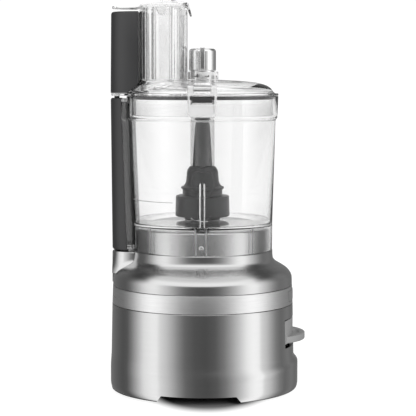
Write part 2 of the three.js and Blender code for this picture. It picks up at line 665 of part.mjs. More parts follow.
function lidLatch() {
  const half = LATCH_HALF_WIDTH;
  const [back, front] = [-88.7, -91.7];
  const corner = 4.5;
  const [low, high] = [315.6, 341.6];
  const plate = new THREE.Shape();
  plate.moveTo(-half, high);
  plate.lineTo(-half, low + corner);
  plate.absarc(-half + corner, low + corner, corner, Math.PI, 1.5 * Math.PI, false);
  plate.absarc(half - corner, low + corner, corner, -0.5 * Math.PI, 0, false);
  plate.lineTo(half, high);
  const window = block([-13.4, 13.4], [-100, -80], [329.3, 339.2]);
  let body = sideways(plate, front, back, 5).subtract(window);
  for (const side of [-1, 1]) {
    const [x0, x1] = side < 0 ? [-half, -10] : [10, half];
    const knuckle = at(cylinder(4.2, x0, x1, "x", 16), 0, LATCH_PIN.y, LATCH_PIN.z);
    body = body.add(knuckle).add(block([x0, x1], [front, back], [340, LATCH_PIN.z]));
  }
  return body.subtract(at(cylinder(1.8, -20, 20, "x", 10), 0, LATCH_PIN.y, LATCH_PIN.z));
}

add("latch", "lid_latch", lidLatch(), clear);

// ---------------------------------------------------------------- pushers

const CAP_THICKNESS = 2.4;

const CAP = { tail: -103, shoulder: -77, front: -15.4, low: 439.6, crest: 448.4, high: 441.6 };

/** Goes on with the cap's upper line, lowered by a depth, from the front of the tube to the rear. */
function capLine(shape, depth) {
  shape.lineTo(CAP.front - depth, CAP.high - depth);
  shape.quadraticCurveTo(-36, CAP.crest - depth, CAP.shoulder, CAP.low - depth);
  shape.lineTo(CAP.tail, CAP.low - depth);
}

/** The cap from the side: flat over the chute housing, arched over the tube, with a lip in front. */
function capSide() {
  const shape = new THREE.Shape();
  shape.moveTo(CAP.tail, CAP.low);
  shape.lineTo(CAP.shoulder, CAP.low);
  shape.quadraticCurveTo(-36, CAP.crest, CAP.front, CAP.high);
  shape.lineTo(-12.1, 429.2);
  shape.lineTo(-14.4, 429.4);
  capLine(shape, CAP_THICKNESS);
  return shape;
}

/** All that lies below the middle of the cap's thickness, from the side. */
function belowCap() {
  const shape = new THREE.Shape();
  shape.moveTo(CAP.tail, 300);
  shape.lineTo(CAP.front, 300);
  capLine(shape, CAP_THICKNESS / 2);
  return shape;
}

function largePusher() {
  const floor = PUSHER_FOOT_Z + 2.2;
  const hollow = oval(-5.2, floor, 453);
  const wall = oval(-3.1, PUSHER_FOOT_Z, 452).subtract(hollow);
  const throat = at(cylinder(SMALL_R + 2.2, PUSHER_FOOT_Z, 452, "z", 24), SMALL_X, 0);
  const bore = at(cylinder(SMALL_R + 0.5, floor - 0.6, 460, "z", 24), SMALL_X, 0);
  const drain = at(cylinder(SMALL_R - 1.6, PUSHER_FOOT_Z - 1, floor, "z", 24), SMALL_X, 0);
  const vent = at(cylinder(3, 430, 460, "z", 10), TUBE_X, 28);
  const overHousing = column(-1.5, 436, 460).intersect(block([-120, -60], [-40, 40], [436, 460]));
  const lip = oval(5.2, 420, 460).intersect(block([-30, 0], [-60, 60], [420, 460]));
  const cap = sideways(capSide(), -60, 60, 8).intersect(oval(1.4, 436, 460).add(lip).add(overHousing));
  return wall
    .add(throat)
    .intersect(sideways(belowCap(), -60, 60, 8))
    .add(cap)
    .subtract(bore)
    .subtract(drain)
    .subtract(vent);
}

function smallPusher() {
  const [low, high] = [PUSHER_FOOT_Z + 2.2, 440.6];
  return at(turned([
    [0, low], [SMALL_R, low], [SMALL_R, high], [SMALL_R - 1.5, high], [SMALL_R - 1.5, low + 1.8],
    [0, low + 1.8],
  ], 24), SMALL_X, 0);
}

/** A dish for the thumb, pressed into the mouth of the small pusher. */
function thumbCup() {
  const rim = SMALL_R - 1.9;
  return at(turned([
    [0, 428.4], [5.4, 429.8], [8.8, 433.6], [rim, 438.4], [rim, 440.6], [rim - 1.4, 440.6],
    [rim - 1.8, 438.8], [7.4, 434.4], [4.6, 431.2], [0, 430],
  ], 24), SMALL_X, 0);
}

add("pusher", "large_pusher", largePusher(), clear);
add("smallPusher", "small_pusher", smallPusher(), clear);
add("smallPusher", "thumb_cup", thumbCup(), clear);

product.position.x = AXIS_X;
const root = new THREE.Group();
root.add(product);

export default root;
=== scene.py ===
# %% [markdown]
# # A food processor in satin silver and clear plastic
# The imported model gives every place and size. This notebook builds the surfaces that a person sees: spun
# metal, clear mouldings with real wall thickness, satin plastic, rubber and steel. The first cell loads the
# model and keeps its parts, whose boxes place every piece.

import math

import bmesh
import bpy
from mathutils import Matrix, Vector


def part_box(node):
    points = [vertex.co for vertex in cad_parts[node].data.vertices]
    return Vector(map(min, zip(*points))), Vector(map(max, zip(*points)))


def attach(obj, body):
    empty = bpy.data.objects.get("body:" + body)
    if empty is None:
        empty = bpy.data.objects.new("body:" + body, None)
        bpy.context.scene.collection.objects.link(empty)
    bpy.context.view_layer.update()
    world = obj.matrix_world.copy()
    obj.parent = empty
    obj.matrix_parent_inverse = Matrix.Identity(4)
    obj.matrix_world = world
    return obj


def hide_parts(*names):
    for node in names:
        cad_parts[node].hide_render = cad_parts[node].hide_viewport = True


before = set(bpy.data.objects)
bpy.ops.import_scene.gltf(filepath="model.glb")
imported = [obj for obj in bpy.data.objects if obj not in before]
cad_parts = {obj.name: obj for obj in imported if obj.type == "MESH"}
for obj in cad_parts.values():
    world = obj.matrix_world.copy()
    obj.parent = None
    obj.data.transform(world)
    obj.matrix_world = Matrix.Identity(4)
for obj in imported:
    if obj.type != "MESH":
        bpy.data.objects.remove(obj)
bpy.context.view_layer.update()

MM = 0.001
AXIS_X = sum(corner[0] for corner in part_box("drive_shaft")) / 2  # the drive axis, in metres
AXIS = Vector((AXIS_X, 0, 0))


def heights(node):
    """A CAD node's lowest and highest points, in millimetres."""
    return [corner[2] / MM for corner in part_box(node)]


# %% [markdown]
# ## Shaping helpers
# Most of this machine is round, so most pieces start as a profile of (radius, height) corners in millimetres
# that is spun about the drive axis. A third number rounds a corner: real mouldings have no sharp edges, and a
# small round is what catches the light. Upright prisms with an outline are extruded one level at a time, which
# lets the outline grow or shrink on the way up, as a flared foot does.

# %% Outlines
ROUND = 168  # steps of a large spin


def rounded(outline, closed=True, steps=5):
    """The outline's points, with a curve of its third number's reach at each corner that has one."""
    points = []
    for i, corner in enumerate(outline):
        here = Vector(corner[:2])
        at_end = not closed and i in (0, len(outline) - 1)
        if len(corner) < 3 or at_end:
            points.append(here)
            continue
        before, after = Vector(outline[i - 1][:2]), Vector(outline[(i + 1) % len(outline)][:2])
        start = here.lerp(before, min(corner[2] / (before - here).length, 0.5))
        end = here.lerp(after, min(corner[2] / (after - here).length, 0.5))
        for k in range(steps + 1):
            t = k / steps
            points.append(start.lerp(here, t).lerp(here.lerp(end, t), t))
    return points


def oval(half_depth, half_width, power=2.0, count=112, centre=(0, 0)):
    """The points of an oval; a power over 2 squares its corners."""
    points = []
    for i in range(count):
        angle = 2 * math.pi * i / count
        c, s = math.cos(angle), math.sin(angle)
        x = math.copysign(abs(c) ** (2 / power), c) * half_depth
        y = math.copysign(abs(s) ** (2 / power), s) * half_width
        points.append((centre[0] + x, centre[1] + y))
    return points


# %% Solids from outlines
def turned(outline, steps=ROUND, centre=(0, 0), corner_steps=5):
    """A profile of (radius, height) corners spun about the vertical through centre."""
    shape = bmesh.new()
    touches_axis = outline[0][0] == 0 and outline[-1][0] == 0
    points = rounded(outline, closed=not touches_axis, steps=corner_steps)
    verts = [shape.verts.new((p.x * MM, 0, p.y * MM)) for p in points]
    following = verts[1:] if touches_axis else verts[1:] + verts[:1]
    edges = [shape.edges.new(pair) for pair in zip(verts, following)]
    bmesh.ops.spin(shape, geom=verts + edges, cent=(0, 0, 0), axis=(0, 0, 1), angle=2 * math.pi,
                   steps=steps, use_merge=True)
    bmesh.ops.remove_doubles(shape, verts=shape.verts, dist=1e-6)
    bmesh.ops.translate(shape, verts=shape.verts, vec=AXIS + Vector((centre[0], centre[1], 0)) * MM)
    return shape


def cylinder(radius, low, high, steps=ROUND, centre=(0, 0)):
    return turned([(0, low), (radius, low), (radius, high), (0, high)], steps, centre)


def swing(shape, angle, line="Z"):
    """Turns a shape about the drive axis, or about a level line through the axis's foot."""
    bmesh.ops.rotate(shape, verts=shape.verts, cent=AXIS, matrix=Matrix.Rotation(angle, 3, line))


def lofted(outline_at, levels):
    """A solid whose outline is outline_at(grow) at each (height, grow) level, lowest first."""
    shape = bmesh.new()
    height, grow = levels[0]
    cap = shape.faces.new([shape.verts.new((x * MM, y * MM, height * MM)) for x, y in outline_at(grow)])
    for height, grow in levels[1:]:
        made = bmesh.ops.extrude_face_region(shape, geom=[cap])["geom"]
        if (height, grow) != levels[1]:
            bmesh.ops.delete(shape, geom=[cap], context="FACES_ONLY")  # only the foot's cap stays
        cap = next(item for item in made if isinstance(item, bmesh.types.BMFace))
        for vert, (x, y) in zip(cap.verts, outline_at(grow)):
            vert.co = (x * MM, y * MM, height * MM)
    bmesh.ops.recalc_face_normals(shape, faces=shape.faces)
    bmesh.ops.translate(shape, verts=shape.verts, vec=AXIS)
    return shape


def prism(outline, low, high, bevel=0.0, segments=3):
    """An outline extruded upright, with its rims rounded."""
    shape = lofted(lambda grow: outline, [(low, 0), (high, 0)])
    if bevel:
        rims = [e for e in shape.edges if abs(e.verts[0].co.z - e.verts[1].co.z) < 1e-7]
        bmesh.ops.bevel(shape, geom=rims, offset=bevel * MM, segments=segments, profile=0.5,
                        affect="EDGES", material=-1, clamp_overlap=True)
    return shape


def sideways(outline, low, high, bevel=0.0, segments=3):
    """An outline drawn in X and Z, extruded along Y from low to high."""
    shape = prism(outline, -high, -low, bevel, segments)
    swing(shape, math.pi / 2, "X")
    return shape


def block(x, y, z, bevel=0.0, segments=3):
    """A box between two millimetre coordinates on each axis, with rounded edges."""
    shape = bmesh.new()
    bmesh.ops.create_cube(shape, size=1)
    size = Vector((x[1] - x[0], y[1] - y[0], z[1] - z[0])) * MM
    middle = Vector((x[0] + x[1], y[0] + y[1], z[0] + z[1])) * MM / 2
    bmesh.ops.scale(shape, verts=shape.verts, vec=size)
    bmesh.ops.translate(shape, verts=shape.verts, vec=AXIS + middle)
    if bevel:
        bmesh.ops.bevel(shape, geom=shape.edges[:], offset=bevel * MM, segments=segments, profile=0.5,
                        affect="EDGES", material=-1)
    return shape


def rod(radius, low, high, along, centre, steps=48, bevel=0.0):
    """A round bar along "X" or "Y" through centre, an (x, y, z) in millimetres."""
    corners = [(0, low), (radius, low, bevel), (radius, high, bevel), (0, high)]
    shape = turned(corners if bevel else [c[:2] for c in corners], steps)
    turn = Matrix.Rotation(math.pi / 2, 3, "Y") if along == "X" else Matrix.Rotation(-math.pi / 2, 3, "X")
    bmesh.ops.rotate(shape, verts=shape.verts, cent=AXIS, matrix=turn)
    bmesh.ops.translate(shape, verts=shape.verts, vec=Vector(centre) * MM)
    return shape


# %% Joining and cutting
def holder_of(shape, label):
    """A short-lived object that carries a shape into a modifier."""
    bmesh.ops.recalc_face_normals(shape, faces=shape.faces)
    mesh = bpy.data.meshes.new(label)
    shape.to_mesh(mesh)
    shape.free()
    holder = bpy.data.objects.new(label, mesh)
    bpy.context.collection.objects.link(holder)
    return holder


def combined(shape, tool, operation):
    """The shape joined with a tool (UNION), cut by it (DIFFERENCE) or kept inside it (INTERSECT)."""
    base, cutter = holder_of(shape, "boolean_base"), holder_of(tool, "boolean_tool")
    modifier = base.modifiers.new("combine", "BOOLEAN")
    modifier.operation, modifier.solver, modifier.object = operation, "EXACT", cutter
    bpy.context.view_layer.update()
    evaluated = base.evaluated_get(bpy.context.evaluated_depsgraph_get())
    result = bmesh.new()
    result.from_mesh(evaluated.data)
    bmesh.ops.remove_doubles(result, verts=result.verts, dist=2e-6)
    for holder in (base, cutter):
        mesh = holder.data
        bpy.data.objects.remove(holder)
        bpy.data.meshes.remove(mesh)
    return result


def cut(shape, *tools):
    for tool in tools:
        shape = combined(shape, tool, "DIFFERENCE")
    return shape


def join(shape, *tools):
    for tool in tools:
        shape = combined(shape, tool, "UNION")
    return shape


# %% [markdown]
# ## Finishes
# Five effects are shared, each in a node group with its own inputs: a brushed grain that runs round the machine,
# a moulded grain, upright lines, soft smudges and wear along edges. A group gives only values and heights, and
# each material puts them into its own shader. The silver is a metallic paint over a die casting, so its grain is
# fine and its gloss soft. The band is real brushed metal, so it is lighter and its lines are longer.

# %% Node group helper
def group_of(name, inputs, outputs, build):
    """A shader node group with float inputs {name: default} and float or vector outputs."""
    group = bpy.data.node_groups.new(name, "ShaderNodeTree")
    for label, default in inputs.items():
        socket = group.interface.new_socket(label, in_out="INPUT", socket_type="NodeSocketFloat")
        socket.default_value = default
    for label in outputs:
        group.interface.new_socket(label, in_out="OUTPUT", socket_type="NodeSocketFloat")
    nodes, links = group.nodes, group.links
    build(nodes, links, nodes.new("NodeGroupInput"), nodes.new("NodeGroupOutput"))
    return group


def stretched_noise(nodes, links, source, stretch, detail, roughness=0.6):
    """Noise in Object coordinates stretched by a vector, at the group's own Scale."""
    place = nodes.new("ShaderNodeTexCoord")
    mapping = nodes.new("ShaderNodeMapping")
    mapping.inputs["Scale"].default_value = stretch
    links.new(place.outputs["Object"], mapping.inputs["Vector"])
    node = nodes.new("ShaderNodeTexNoise")
    node.inputs["Detail"].default_value = detail
    node.inputs["Roughness"].default_value = roughness
    links.new(mapping.outputs["Vector"], node.inputs["Vector"])
    links.new(source.outputs["Scale"], node.inputs["Scale"])
    return node.outputs["Fac"]


# %% The shared effects
def build_brushed(nodes, links, source, sink):
    # Lines that run round the machine: long in X and Y, very fine in Z.
    links.new(stretched_noise(nodes, links, source, (1, 1, 140), 6.0, 0.7), sink.inputs["Height"])
    links.new(stretched_noise(nodes, links, source, (1, 1, 30), 2.0), sink.inputs["Streak"])


def build_moulded(nodes, links, source, sink):
    links.new(stretched_noise(nodes, links, source, (1, 1, 1), 3.0, 0.75), sink.inputs["Height"])


def build_drawn(nodes, links, source, sink):
    # Upright lines: fine in X and Y, very long in Z.
    links.new(stretched_noise(nodes, links, source, (1, 1, 0.03), 1.0, 0.4), sink.inputs["Height"])


def build_smudge(nodes, links, source, sink):
    cloud = stretched_noise(nodes, links, source, (1, 1, 0.6), 5.0, 0.55)
    contrast = nodes.new("ShaderNodeMapRange")
    contrast.inputs["From Min"].default_value = 0.35
    contrast.inputs["From Max"].default_value = 0.7
    links.new(cloud, contrast.inputs["Value"])
    links.new(contrast.outputs["Result"], sink.inputs["Mask"])


def build_edge_wear(nodes, links, source, sink):
    # Pointiness is high along outer edges, where a finish rubs off first.
    geometry = nodes.new("ShaderNodeNewGeometry")
    contrast = nodes.new("ShaderNodeMapRange")
    contrast.inputs["From Min"].default_value = 0.52
    contrast.inputs["From Max"].default_value = 0.62
    links.new(geometry.outputs["Pointiness"], contrast.inputs["Value"])
    amount = nodes.new("ShaderNodeMath")
    amount.operation = "MULTIPLY"
    links.new(contrast.outputs["Result"], amount.inputs[0])
    links.new(source.outputs["Amount"], amount.inputs[1])
    links.new(amount.outputs["Value"], sink.inputs["Mask"])


BRUSHED = group_of("brushed grain", {"Scale": 60.0}, ["Height", "Streak"], build_brushed)
MOULDED = group_of("moulded grain", {"Scale": 1800.0}, ["Height"], build_moulded)
DRAWN = group_of("drawn lines", {"Scale": 30.0}, ["Height"], build_drawn)
SMUDGE = group_of("soft smudges", {"Scale": 14.0}, ["Mask"], build_smudge)
EDGE_WEAR = group_of("edge wear", {"Amount": 0.5}, ["Mask"], build_edge_wear)
print("effects:", [group.name for group in (BRUSHED, MOULDED, DRAWN, SMUDGE, EDGE_WEAR)])


# %% Material helpers
class Finish:
    """One material while it is being wired."""

    def __init__(self, name, colour, roughness, metallic=0.0, **plain):
        self.material = bpy.data.materials.new(name)
        self.material.use_nodes = True
        self.nodes, self.links = self.material.node_tree.nodes, self.material.node_tree.links
        self.shader = self.nodes["Principled BSDF"]
        self.colour, self.roughness = colour, roughness
        self.material.diffuse_color = (*colour, 1)
        self.set("Base Color", (*colour, 1))
        self.set("Roughness", roughness)
        self.set("Metallic", metallic)
        for label, value in plain.items():
            self.set(label.replace("_", " "), value)

    def set(self, label, value):
        self.shader.inputs[label].default_value = value

    def effect(self, group, **values):
        node = self.nodes.new("ShaderNodeGroup")
        node.node_tree = group
        for label, value in values.items():
            node.inputs[label].default_value = value
        return node.outputs

    def vary(self, mask, tint, rougher):
        """Where the mask is full, the colour is multiplied by tint and the roughness raised."""
        colour = self.nodes.new("ShaderNodeMix")
        colour.data_type = "RGBA"
        colour.inputs["A"].default_value = (*self.colour, 1)
        colour.inputs["B"].default_value = (*(min(c * tint, 1) for c in self.colour), 1)
        self.links.new(mask, colour.inputs["Factor"])
        self.links.new(colour.outputs["Result"], self.shader.inputs["Base Color"])
        rough = self.nodes.new("ShaderNodeMapRange")
        rough.inputs["To Min"].default_value = self.roughness
        rough.inputs["To Max"].default_value = self.roughness + rougher
        self.links.new(mask, rough.inputs["Value"])
        self.links.new(rough.outputs["Result"], self.shader.inputs["Roughness"])
        return self

    def bump(self, height, depth_mm, strength):
        node = self.nodes.new("ShaderNodeBump")
        node.inputs["Distance"].default_value = depth_mm * MM
        node.inputs["Strength"].default_value = strength
        self.links.new(height, node.inputs["Height"])
        self.links.new(node.outputs["Normal"], self.shader.inputs["Normal"])
        return self


def satin_silver(name="satin silver paint", roughness=0.1):
    finish = Finish(name, (0.56, 0.56, 0.56), roughness, 1.0)
    finish.vary(finish.effect(BRUSHED, Scale=22.0)["Streak"], 0.93, 0.05)
    return finish.bump(finish.effect(BRUSHED, Scale=45.0)["Height"], 0.02, 0.16).material


def brushed_band():
    finish = Finish("brushed band", (0.8, 0.8, 0.8), 0.3, 1.0)
    finish.vary(finish.effect(BRUSHED, Scale=30.0)["Streak"], 0.86, 0.08)
    return finish.bump(finish.effect(BRUSHED, Scale=70.0)["Height"], 0.1, 0.9).material


def clear_plastic(name="clear plastic", tint=(1, 1, 1), roughness=0.0):
    """Clear plastic, a little uneven in upright lines, the way a tall mould is polished."""
    finish = Finish(name, tint, roughness, 0.0, Transmission_Weight=1.0, IOR=1.49)
    finish.bump(finish.effect(DRAWN, Scale=34.0)["Height"], 0.06, 0.2)
    return finish.material


def satin_plastic(name, colour, roughness, wear=0.4):
    finish = Finish(name, colour, roughness, 0.0, Specular_IOR_Level=0.5)
    finish.vary(finish.effect(SMUDGE, Scale=16.0)["Mask"], 1.12, 0.06)
    return finish.bump(finish.effect(MOULDED, Scale=1500.0)["Height"], 0.05, wear).material


def soft_rubber(name, colour, roughness):
    finish = Finish(name, colour, roughness, 0.0, Specular_IOR_Level=0.3)
    finish.vary(finish.effect(SMUDGE, Scale=40.0)["Mask"], 1.5, 0.1)
    return finish.bump(finish.effect(MOULDED, Scale=900.0)["Height"], 0.08, 0.5).material


def machined(name, colour, roughness, tint=0.85):
    finish = Finish(name, colour, roughness, 1.0)
    finish.vary(finish.effect(SMUDGE, Scale=60.0)["Mask"], tint, 0.12)
    return finish.bump(finish.effect(BRUSHED, Scale=90.0)["Height"], 0.03, 0.3).material


def worn_casting(name, colour, roughness):
    finish = Finish(name, colour, roughness, 1.0)
    finish.vary(finish.effect(EDGE_WEAR, Amount=0.8)["Mask"], 1.4, -0.1)
    return finish.bump(finish.effect(MOULDED, Scale=500.0)["Height"], 0.15, 0.5).material


def stacked_sheets():
    finish = Finish("stacked sheets", (0.22, 0.21, 0.2), 0.45, 0.9)
    wave = finish.nodes.new("ShaderNodeTexWave")
    wave.bands_direction = "Z"
    wave.inputs["Scale"].default_value = 300.0
    wave.inputs["Distortion"].default_value = 0.4
    place = finish.nodes.new("ShaderNodeTexCoord")
    finish.links.new(place.outputs["Object"], wave.inputs["Vector"])
    finish.vary(wave.outputs["Fac"], 0.6, 0.1)
    return finish.bump(wave.outputs["Fac"], 0.2, 0.6).material


def printed_board():
    finish = Finish("printed board", (0.02, 0.11, 0.045), 0.35, 0.0, Coat_Weight=0.4, Coat_Roughness=0.2)
    cells = finish.nodes.new("ShaderNodeTexVoronoi")
    cells.distance = "MANHATTAN"
    cells.inputs["Scale"].default_value = 160.0
    place = finish.nodes.new("ShaderNodeTexCoord")
    finish.links.new(place.outputs["Object"], cells.inputs["Vector"])
    finish.vary(cells.outputs["Distance"], 2.2, 0.1)
    return finish.bump(cells.outputs["Distance"], 0.1, 0.3).material


SILVER = satin_silver()
BAND = brushed_band()
CLEAR = clear_plastic("clear plastic", (0.94, 0.94, 0.94))
PURE_CLEAR = clear_plastic("thin clear plastic")
DARK = satin_plastic("dark satin plastic", (0.018, 0.018, 0.0185), 0.4, 0.12)
BLADE_GREY = satin_plastic("blade plastic", (0.02, 0.02, 0.021), 0.36, 0.12)
BLACK = satin_plastic("black plastic", (0.012, 0.012, 0.012), 0.5, 0.4)
SEAL = soft_rubber("seal rubber", (0.03, 0.03, 0.031), 0.5)
RUBBER = soft_rubber("foot rubber", (0.015, 0.015, 0.015), 0.7)
STEEL = machined("ground steel", (0.62, 0.62, 0.62), 0.18)
COPPER = machined("bare copper", (0.75, 0.36, 0.2), 0.3)
ZINC = worn_casting("cast zinc", (0.5, 0.5, 0.49), 0.45)
SHEETS = stacked_sheets()
BOARD = printed_board()
DIAL_SILVER = machined("silvered dial", (0.84, 0.84, 0.84), 0.2, 0.95)
print("materials:", len(bpy.data.materials))


# %% Finishing a piece
def piece(shape, name, material, body, slot, *nodes, sharp=32):
    """Turns a shape into a named object that rides on a body and stands for some CAD nodes."""
    bmesh.ops.recalc_face_normals(shape, faces=shape.faces)
    mesh = bpy.data.meshes.new(name)
    shape.to_mesh(mesh)
    shape.free()
    mesh.materials.append(material)
    mesh.shade_smooth()
    mesh.set_sharp_from_angle(angle=math.radians(sharp))
    made = bpy.data.objects.new(name, mesh)
    bpy.context.collection.objects.link(made)
    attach(made, body)
    if nodes:
        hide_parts(*nodes)
    print(name, len(mesh.polygons), "faces")
    return made


# %% [markdown]
# ## The motor base
# A die-cast housing under metallic paint. Its skirt stands a little forward of the drive axis, so that the step
# between skirt and wall is deep at the front and dies away under the handle. One profile is spun, and then only
# the skirt's points are moved forward. The finger recess and the paddle's window are cut afterwards, so that
# their edges stay crisp.

# %% Base housing
SKIRT_R, SKIRT_SHIFT = 108.4, 1.9
STEP_Z = 38.0
PADDLE_HALF_WIDTH = 47.0
base_low = heights("base_housing")[0]
band_low, band_high = heights("trim_band")


def body_radius(height):
    """The wall tapers a little towards the band."""
    return 105.6 - (height - STEP_Z) * 0.021


def step_part(height, facing):
    """How far the wall has widened to the skirt; facing is 1 under the paddle and lower round the sides."""
    reach = 5.0 + 9.0 * min(1.0, (1 - facing) * 1.6)
    t = min(max((STEP_Z + reach * 0.6 - height) / (1.6 * reach), 0.0), 1.0)
    return t * t * (3 - 2 * t)


def base_housing():
    wall = [(SKIRT_R, base_low + 5, 3)] + [(SKIRT_R, 14.0 + 2.0 * i) for i in range(24)]
    shape = turned([
        (103.6, base_low, 0.6), (107, base_low, 2.2), *wall, (body_radius(band_low), band_low - 0.5, 0.5),
        (101.4, band_low - 0.5, 0.3), (101.4, band_high), (98.6, band_high), (98.6, band_low - 4), (103.2, 38),
    ])
    for vert in shape.verts:
        out, height = vert.co - AXIS, vert.co.z / MM
        reach = out.xy.length / MM
        if reach < 105.9 or height > 62:
            continue
        facing = out.x / MM / reach
        shift = SKIRT_SHIFT * facing
        full, wall_r = reach + shift, body_radius(height)
        wanted = full if height < 14 else wall_r + (full - wall_r) * step_part(height, facing)
        vert.co.x = AXIS.x + out.x * wanted / reach
        vert.co.y = out.y * wanted / reach
    recess = [(-50.5, -1), (43.3, -1), (43.3, base_low), (37.5, 10, 1), (-45.5, 10, 1), (-50.5, base_low)]
    shape = cut(shape, sideways(rounded(recess), -130, 130))
    window = block((80, 125), (-PADDLE_HALF_WIDTH - 1, PADDLE_HALF_WIDTH + 1), (53.4, 86), 1.2)
    return cut(shape, window)


piece(base_housing(), "silver_base", SILVER, "base", "silver_paint", "base_housing")

# %% Trim band
PLAQUE_ANGLE = 19.2


def sector(shape, half_angle, way=1):
    """The part of a shape within an angle each side of +X, or of -X when way is -1."""
    far = 160.0
    wide = far * math.tan(math.radians(half_angle))
    wedge = [(0, 0), (far * way, -wide * way), (far * way, wide * way)]
    return combined(shape, prism(wedge, 90, 130), "INTERSECT")


def trim_band():
    ring = turned([
        (101.8, band_low, 0.3), (104.25, band_low, 0.4), (103.5, band_high, 0.4), (101.8, band_high, 0.3),
    ])
    pocket = sector(turned([(102.6, 105), (110, 105), (110, 117), (102.6, 117)]), PLAQUE_ANGLE + 0.2)
    slit = turned([(102.9, 109.4), (110, 109.4), (110, 110.8), (102.9, 110.8)])
    return cut(ring, pocket, sector(slit, 32, -1))


piece(trim_band(), "brushed_trim_band", BAND, "base", "band_metal", "trim_band")
plaque = turned([(103.0, 105.4), (104.45, 105.4, 0.5), (104.3, 116.6, 0.5), (103.0, 116.6)])
piece(sector(plaque, PLAQUE_ANGLE), "plain_plaque", BAND, "base", "band_metal", "name_plate")

# %% [markdown]
# The upper casting carries the shoulder, the neck and the pedestal that the bowl drops over. The shoulder is
# one long convex round that turns into a small concave one at the neck: that pair of curves makes the bright
# crescent, so both get many steps.

# %% Top housing
NECK_R = 80.7
PEDESTAL_R = 76.5
LONGEST = 99  # a corner's curve never passes the middle of its sides, so this asks for the longest one
SHOULDER = [(r, z, LONGEST) for r, z in (
    (103.3, 127.5), (102.9, 132.9), (98.9, 139.2), (91, 144.2), (85.2, 147.4), (81.9, 150.6), (80.9, 154.4),
    (NECK_R, 158),
)]


def top_housing():
    low, high = heights("top_housing")
    neck_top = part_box("bowl")[0][2] / MM - 0.4
    return turned([
        (99.6, low, 0.2), (103.3, low, 0.5), *SHOULDER, (NECK_R, neck_top, 0.8),
        (PEDESTAL_R, neck_top, 0.5), (PEDESTAL_R, high, 3), (20, high, 1),
        (13.4, high, 0.4), (13.4, high - 2.6), (73.8, high - 2.6), (73.8, neck_top - 2.6), (78, neck_top - 2.6),
        (78, 148), (94.5, 138.2), (99.2, 130),
    ], corner_steps=14)


SOFT_SILVER = satin_silver("soft silver paint", 0.2)
piece(top_housing(), "silver_shoulder", SOFT_SILVER, "base", "silver_paint", "top_housing", sharp=50)

# %% [markdown]
# Behind the neck a short post carries the foot of the handle. It is half of the handle's own ellipse, so the
# two line up, and its foot flares out onto the shoulder like a casting does.

# %% Rear post
COLUMN_X, COLUMN_DEPTH, COLUMN_HALF_WIDTH = -73.0, 31.5, 24.0


def column_outline(grow, front, count=60):
    """The rear part of the handle's ellipse, closed by a straight line at X = front."""
    deep, wide = COLUMN_DEPTH + grow, COLUMN_HALF_WIDTH + grow
    reach = math.acos(max(-1, min(1, (front - COLUMN_X) / deep)))
    angles = [reach + (2 * math.pi - 2 * reach) * i / (count - 1) for i in range(count)]
    return [(COLUMN_X + deep * math.cos(a), wide * math.sin(a)) for a in angles]


def over_shoulder(gap):
    """The space above the shoulder and outside the neck, as a solid to cut away with."""
    return turned([(0, 100), (103.6 + gap, 100), (103.6 + gap, 122)]
                  + [(r + gap * 0.7, z + gap * 0.7, reach) for r, z, reach in SHOULDER]
                  + [(NECK_R + gap, 170), (0, 170)], corner_steps=8)


def rod_bore():
    """The bore that the interlock's rod and plunger slide in, through the post and the grip."""
    low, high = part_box("interlock_rod")
    middle = (low[0] + high[0]) / 2 / MM - AXIS_X / MM
    return cylinder(3.7, 100, 350, 48, (middle, 0))


def rear_post():
    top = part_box("rear_post")[1][2] / MM
    levels = [(124, -0.2), (150, -0.3), (top - 2, -0.4), (top - 0.6, -0.8), (top, -1.6)]
    return cut(lofted(lambda grow: column_outline(grow, -75), levels), over_shoulder(0.4), rod_bore())


def post_foot():
    """The flared foot that the post stands on: a fillet round it, fading up into the post."""
    levels = [(136, 5.6), (140, 4.6), (143.5, 3.2), (147, 1.7), (150.5, 0.6), (154, -0.05), (157, -0.35)]
    shape = lofted(lambda grow: column_outline(grow, -70), levels)
    inside = lofted(lambda grow: column_outline(-0.35, -60), [(110, 0), (180, 0)])
    rear = block((-140, -103.6), (-60, 60), (100, 200))
    return cut(shape, inside, over_shoulder(0.1), rear)


piece(rear_post(), "silver_rear_post", SILVER, "base", "silver_paint", "rear_post")
piece(post_foot(), "silver_post_foot", SILVER, "base", "silver_paint")

# %% Feet
for name in ("front_left", "front_right", "rear_left", "rear_right"):
    low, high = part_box("foot_" + name)
    middle = ((low[0] + high[0]) / 2 / MM - AXIS_X / MM, (low[1] + high[1]) / 2 / MM)
    top = high[2] / MM
    pad = turned([
        (0, 0), (4, 0, 0.4), (4.6, 0.8, 0.3), (7, 0.8, 0.3), (7.6, 0, 0.4), (10, 0, 0.5), (11, 1.4, 0.8),
        (11, top, 0.5), (0, top),
    ], 64, middle)
    piece(pad, "rubber_pad_" + name, RUBBER, "base", "foot_rubber", "foot_" + name)

# %% [markdown]
# ## The control paddle
# A curved face that fills its window, with a thumb shelf along its foot. The shelf is an arc in plan: deepest in
# the middle and gone at both ends, and its front lip is rounded.

# %% Control paddle
PADDLE_TIP = 118.5


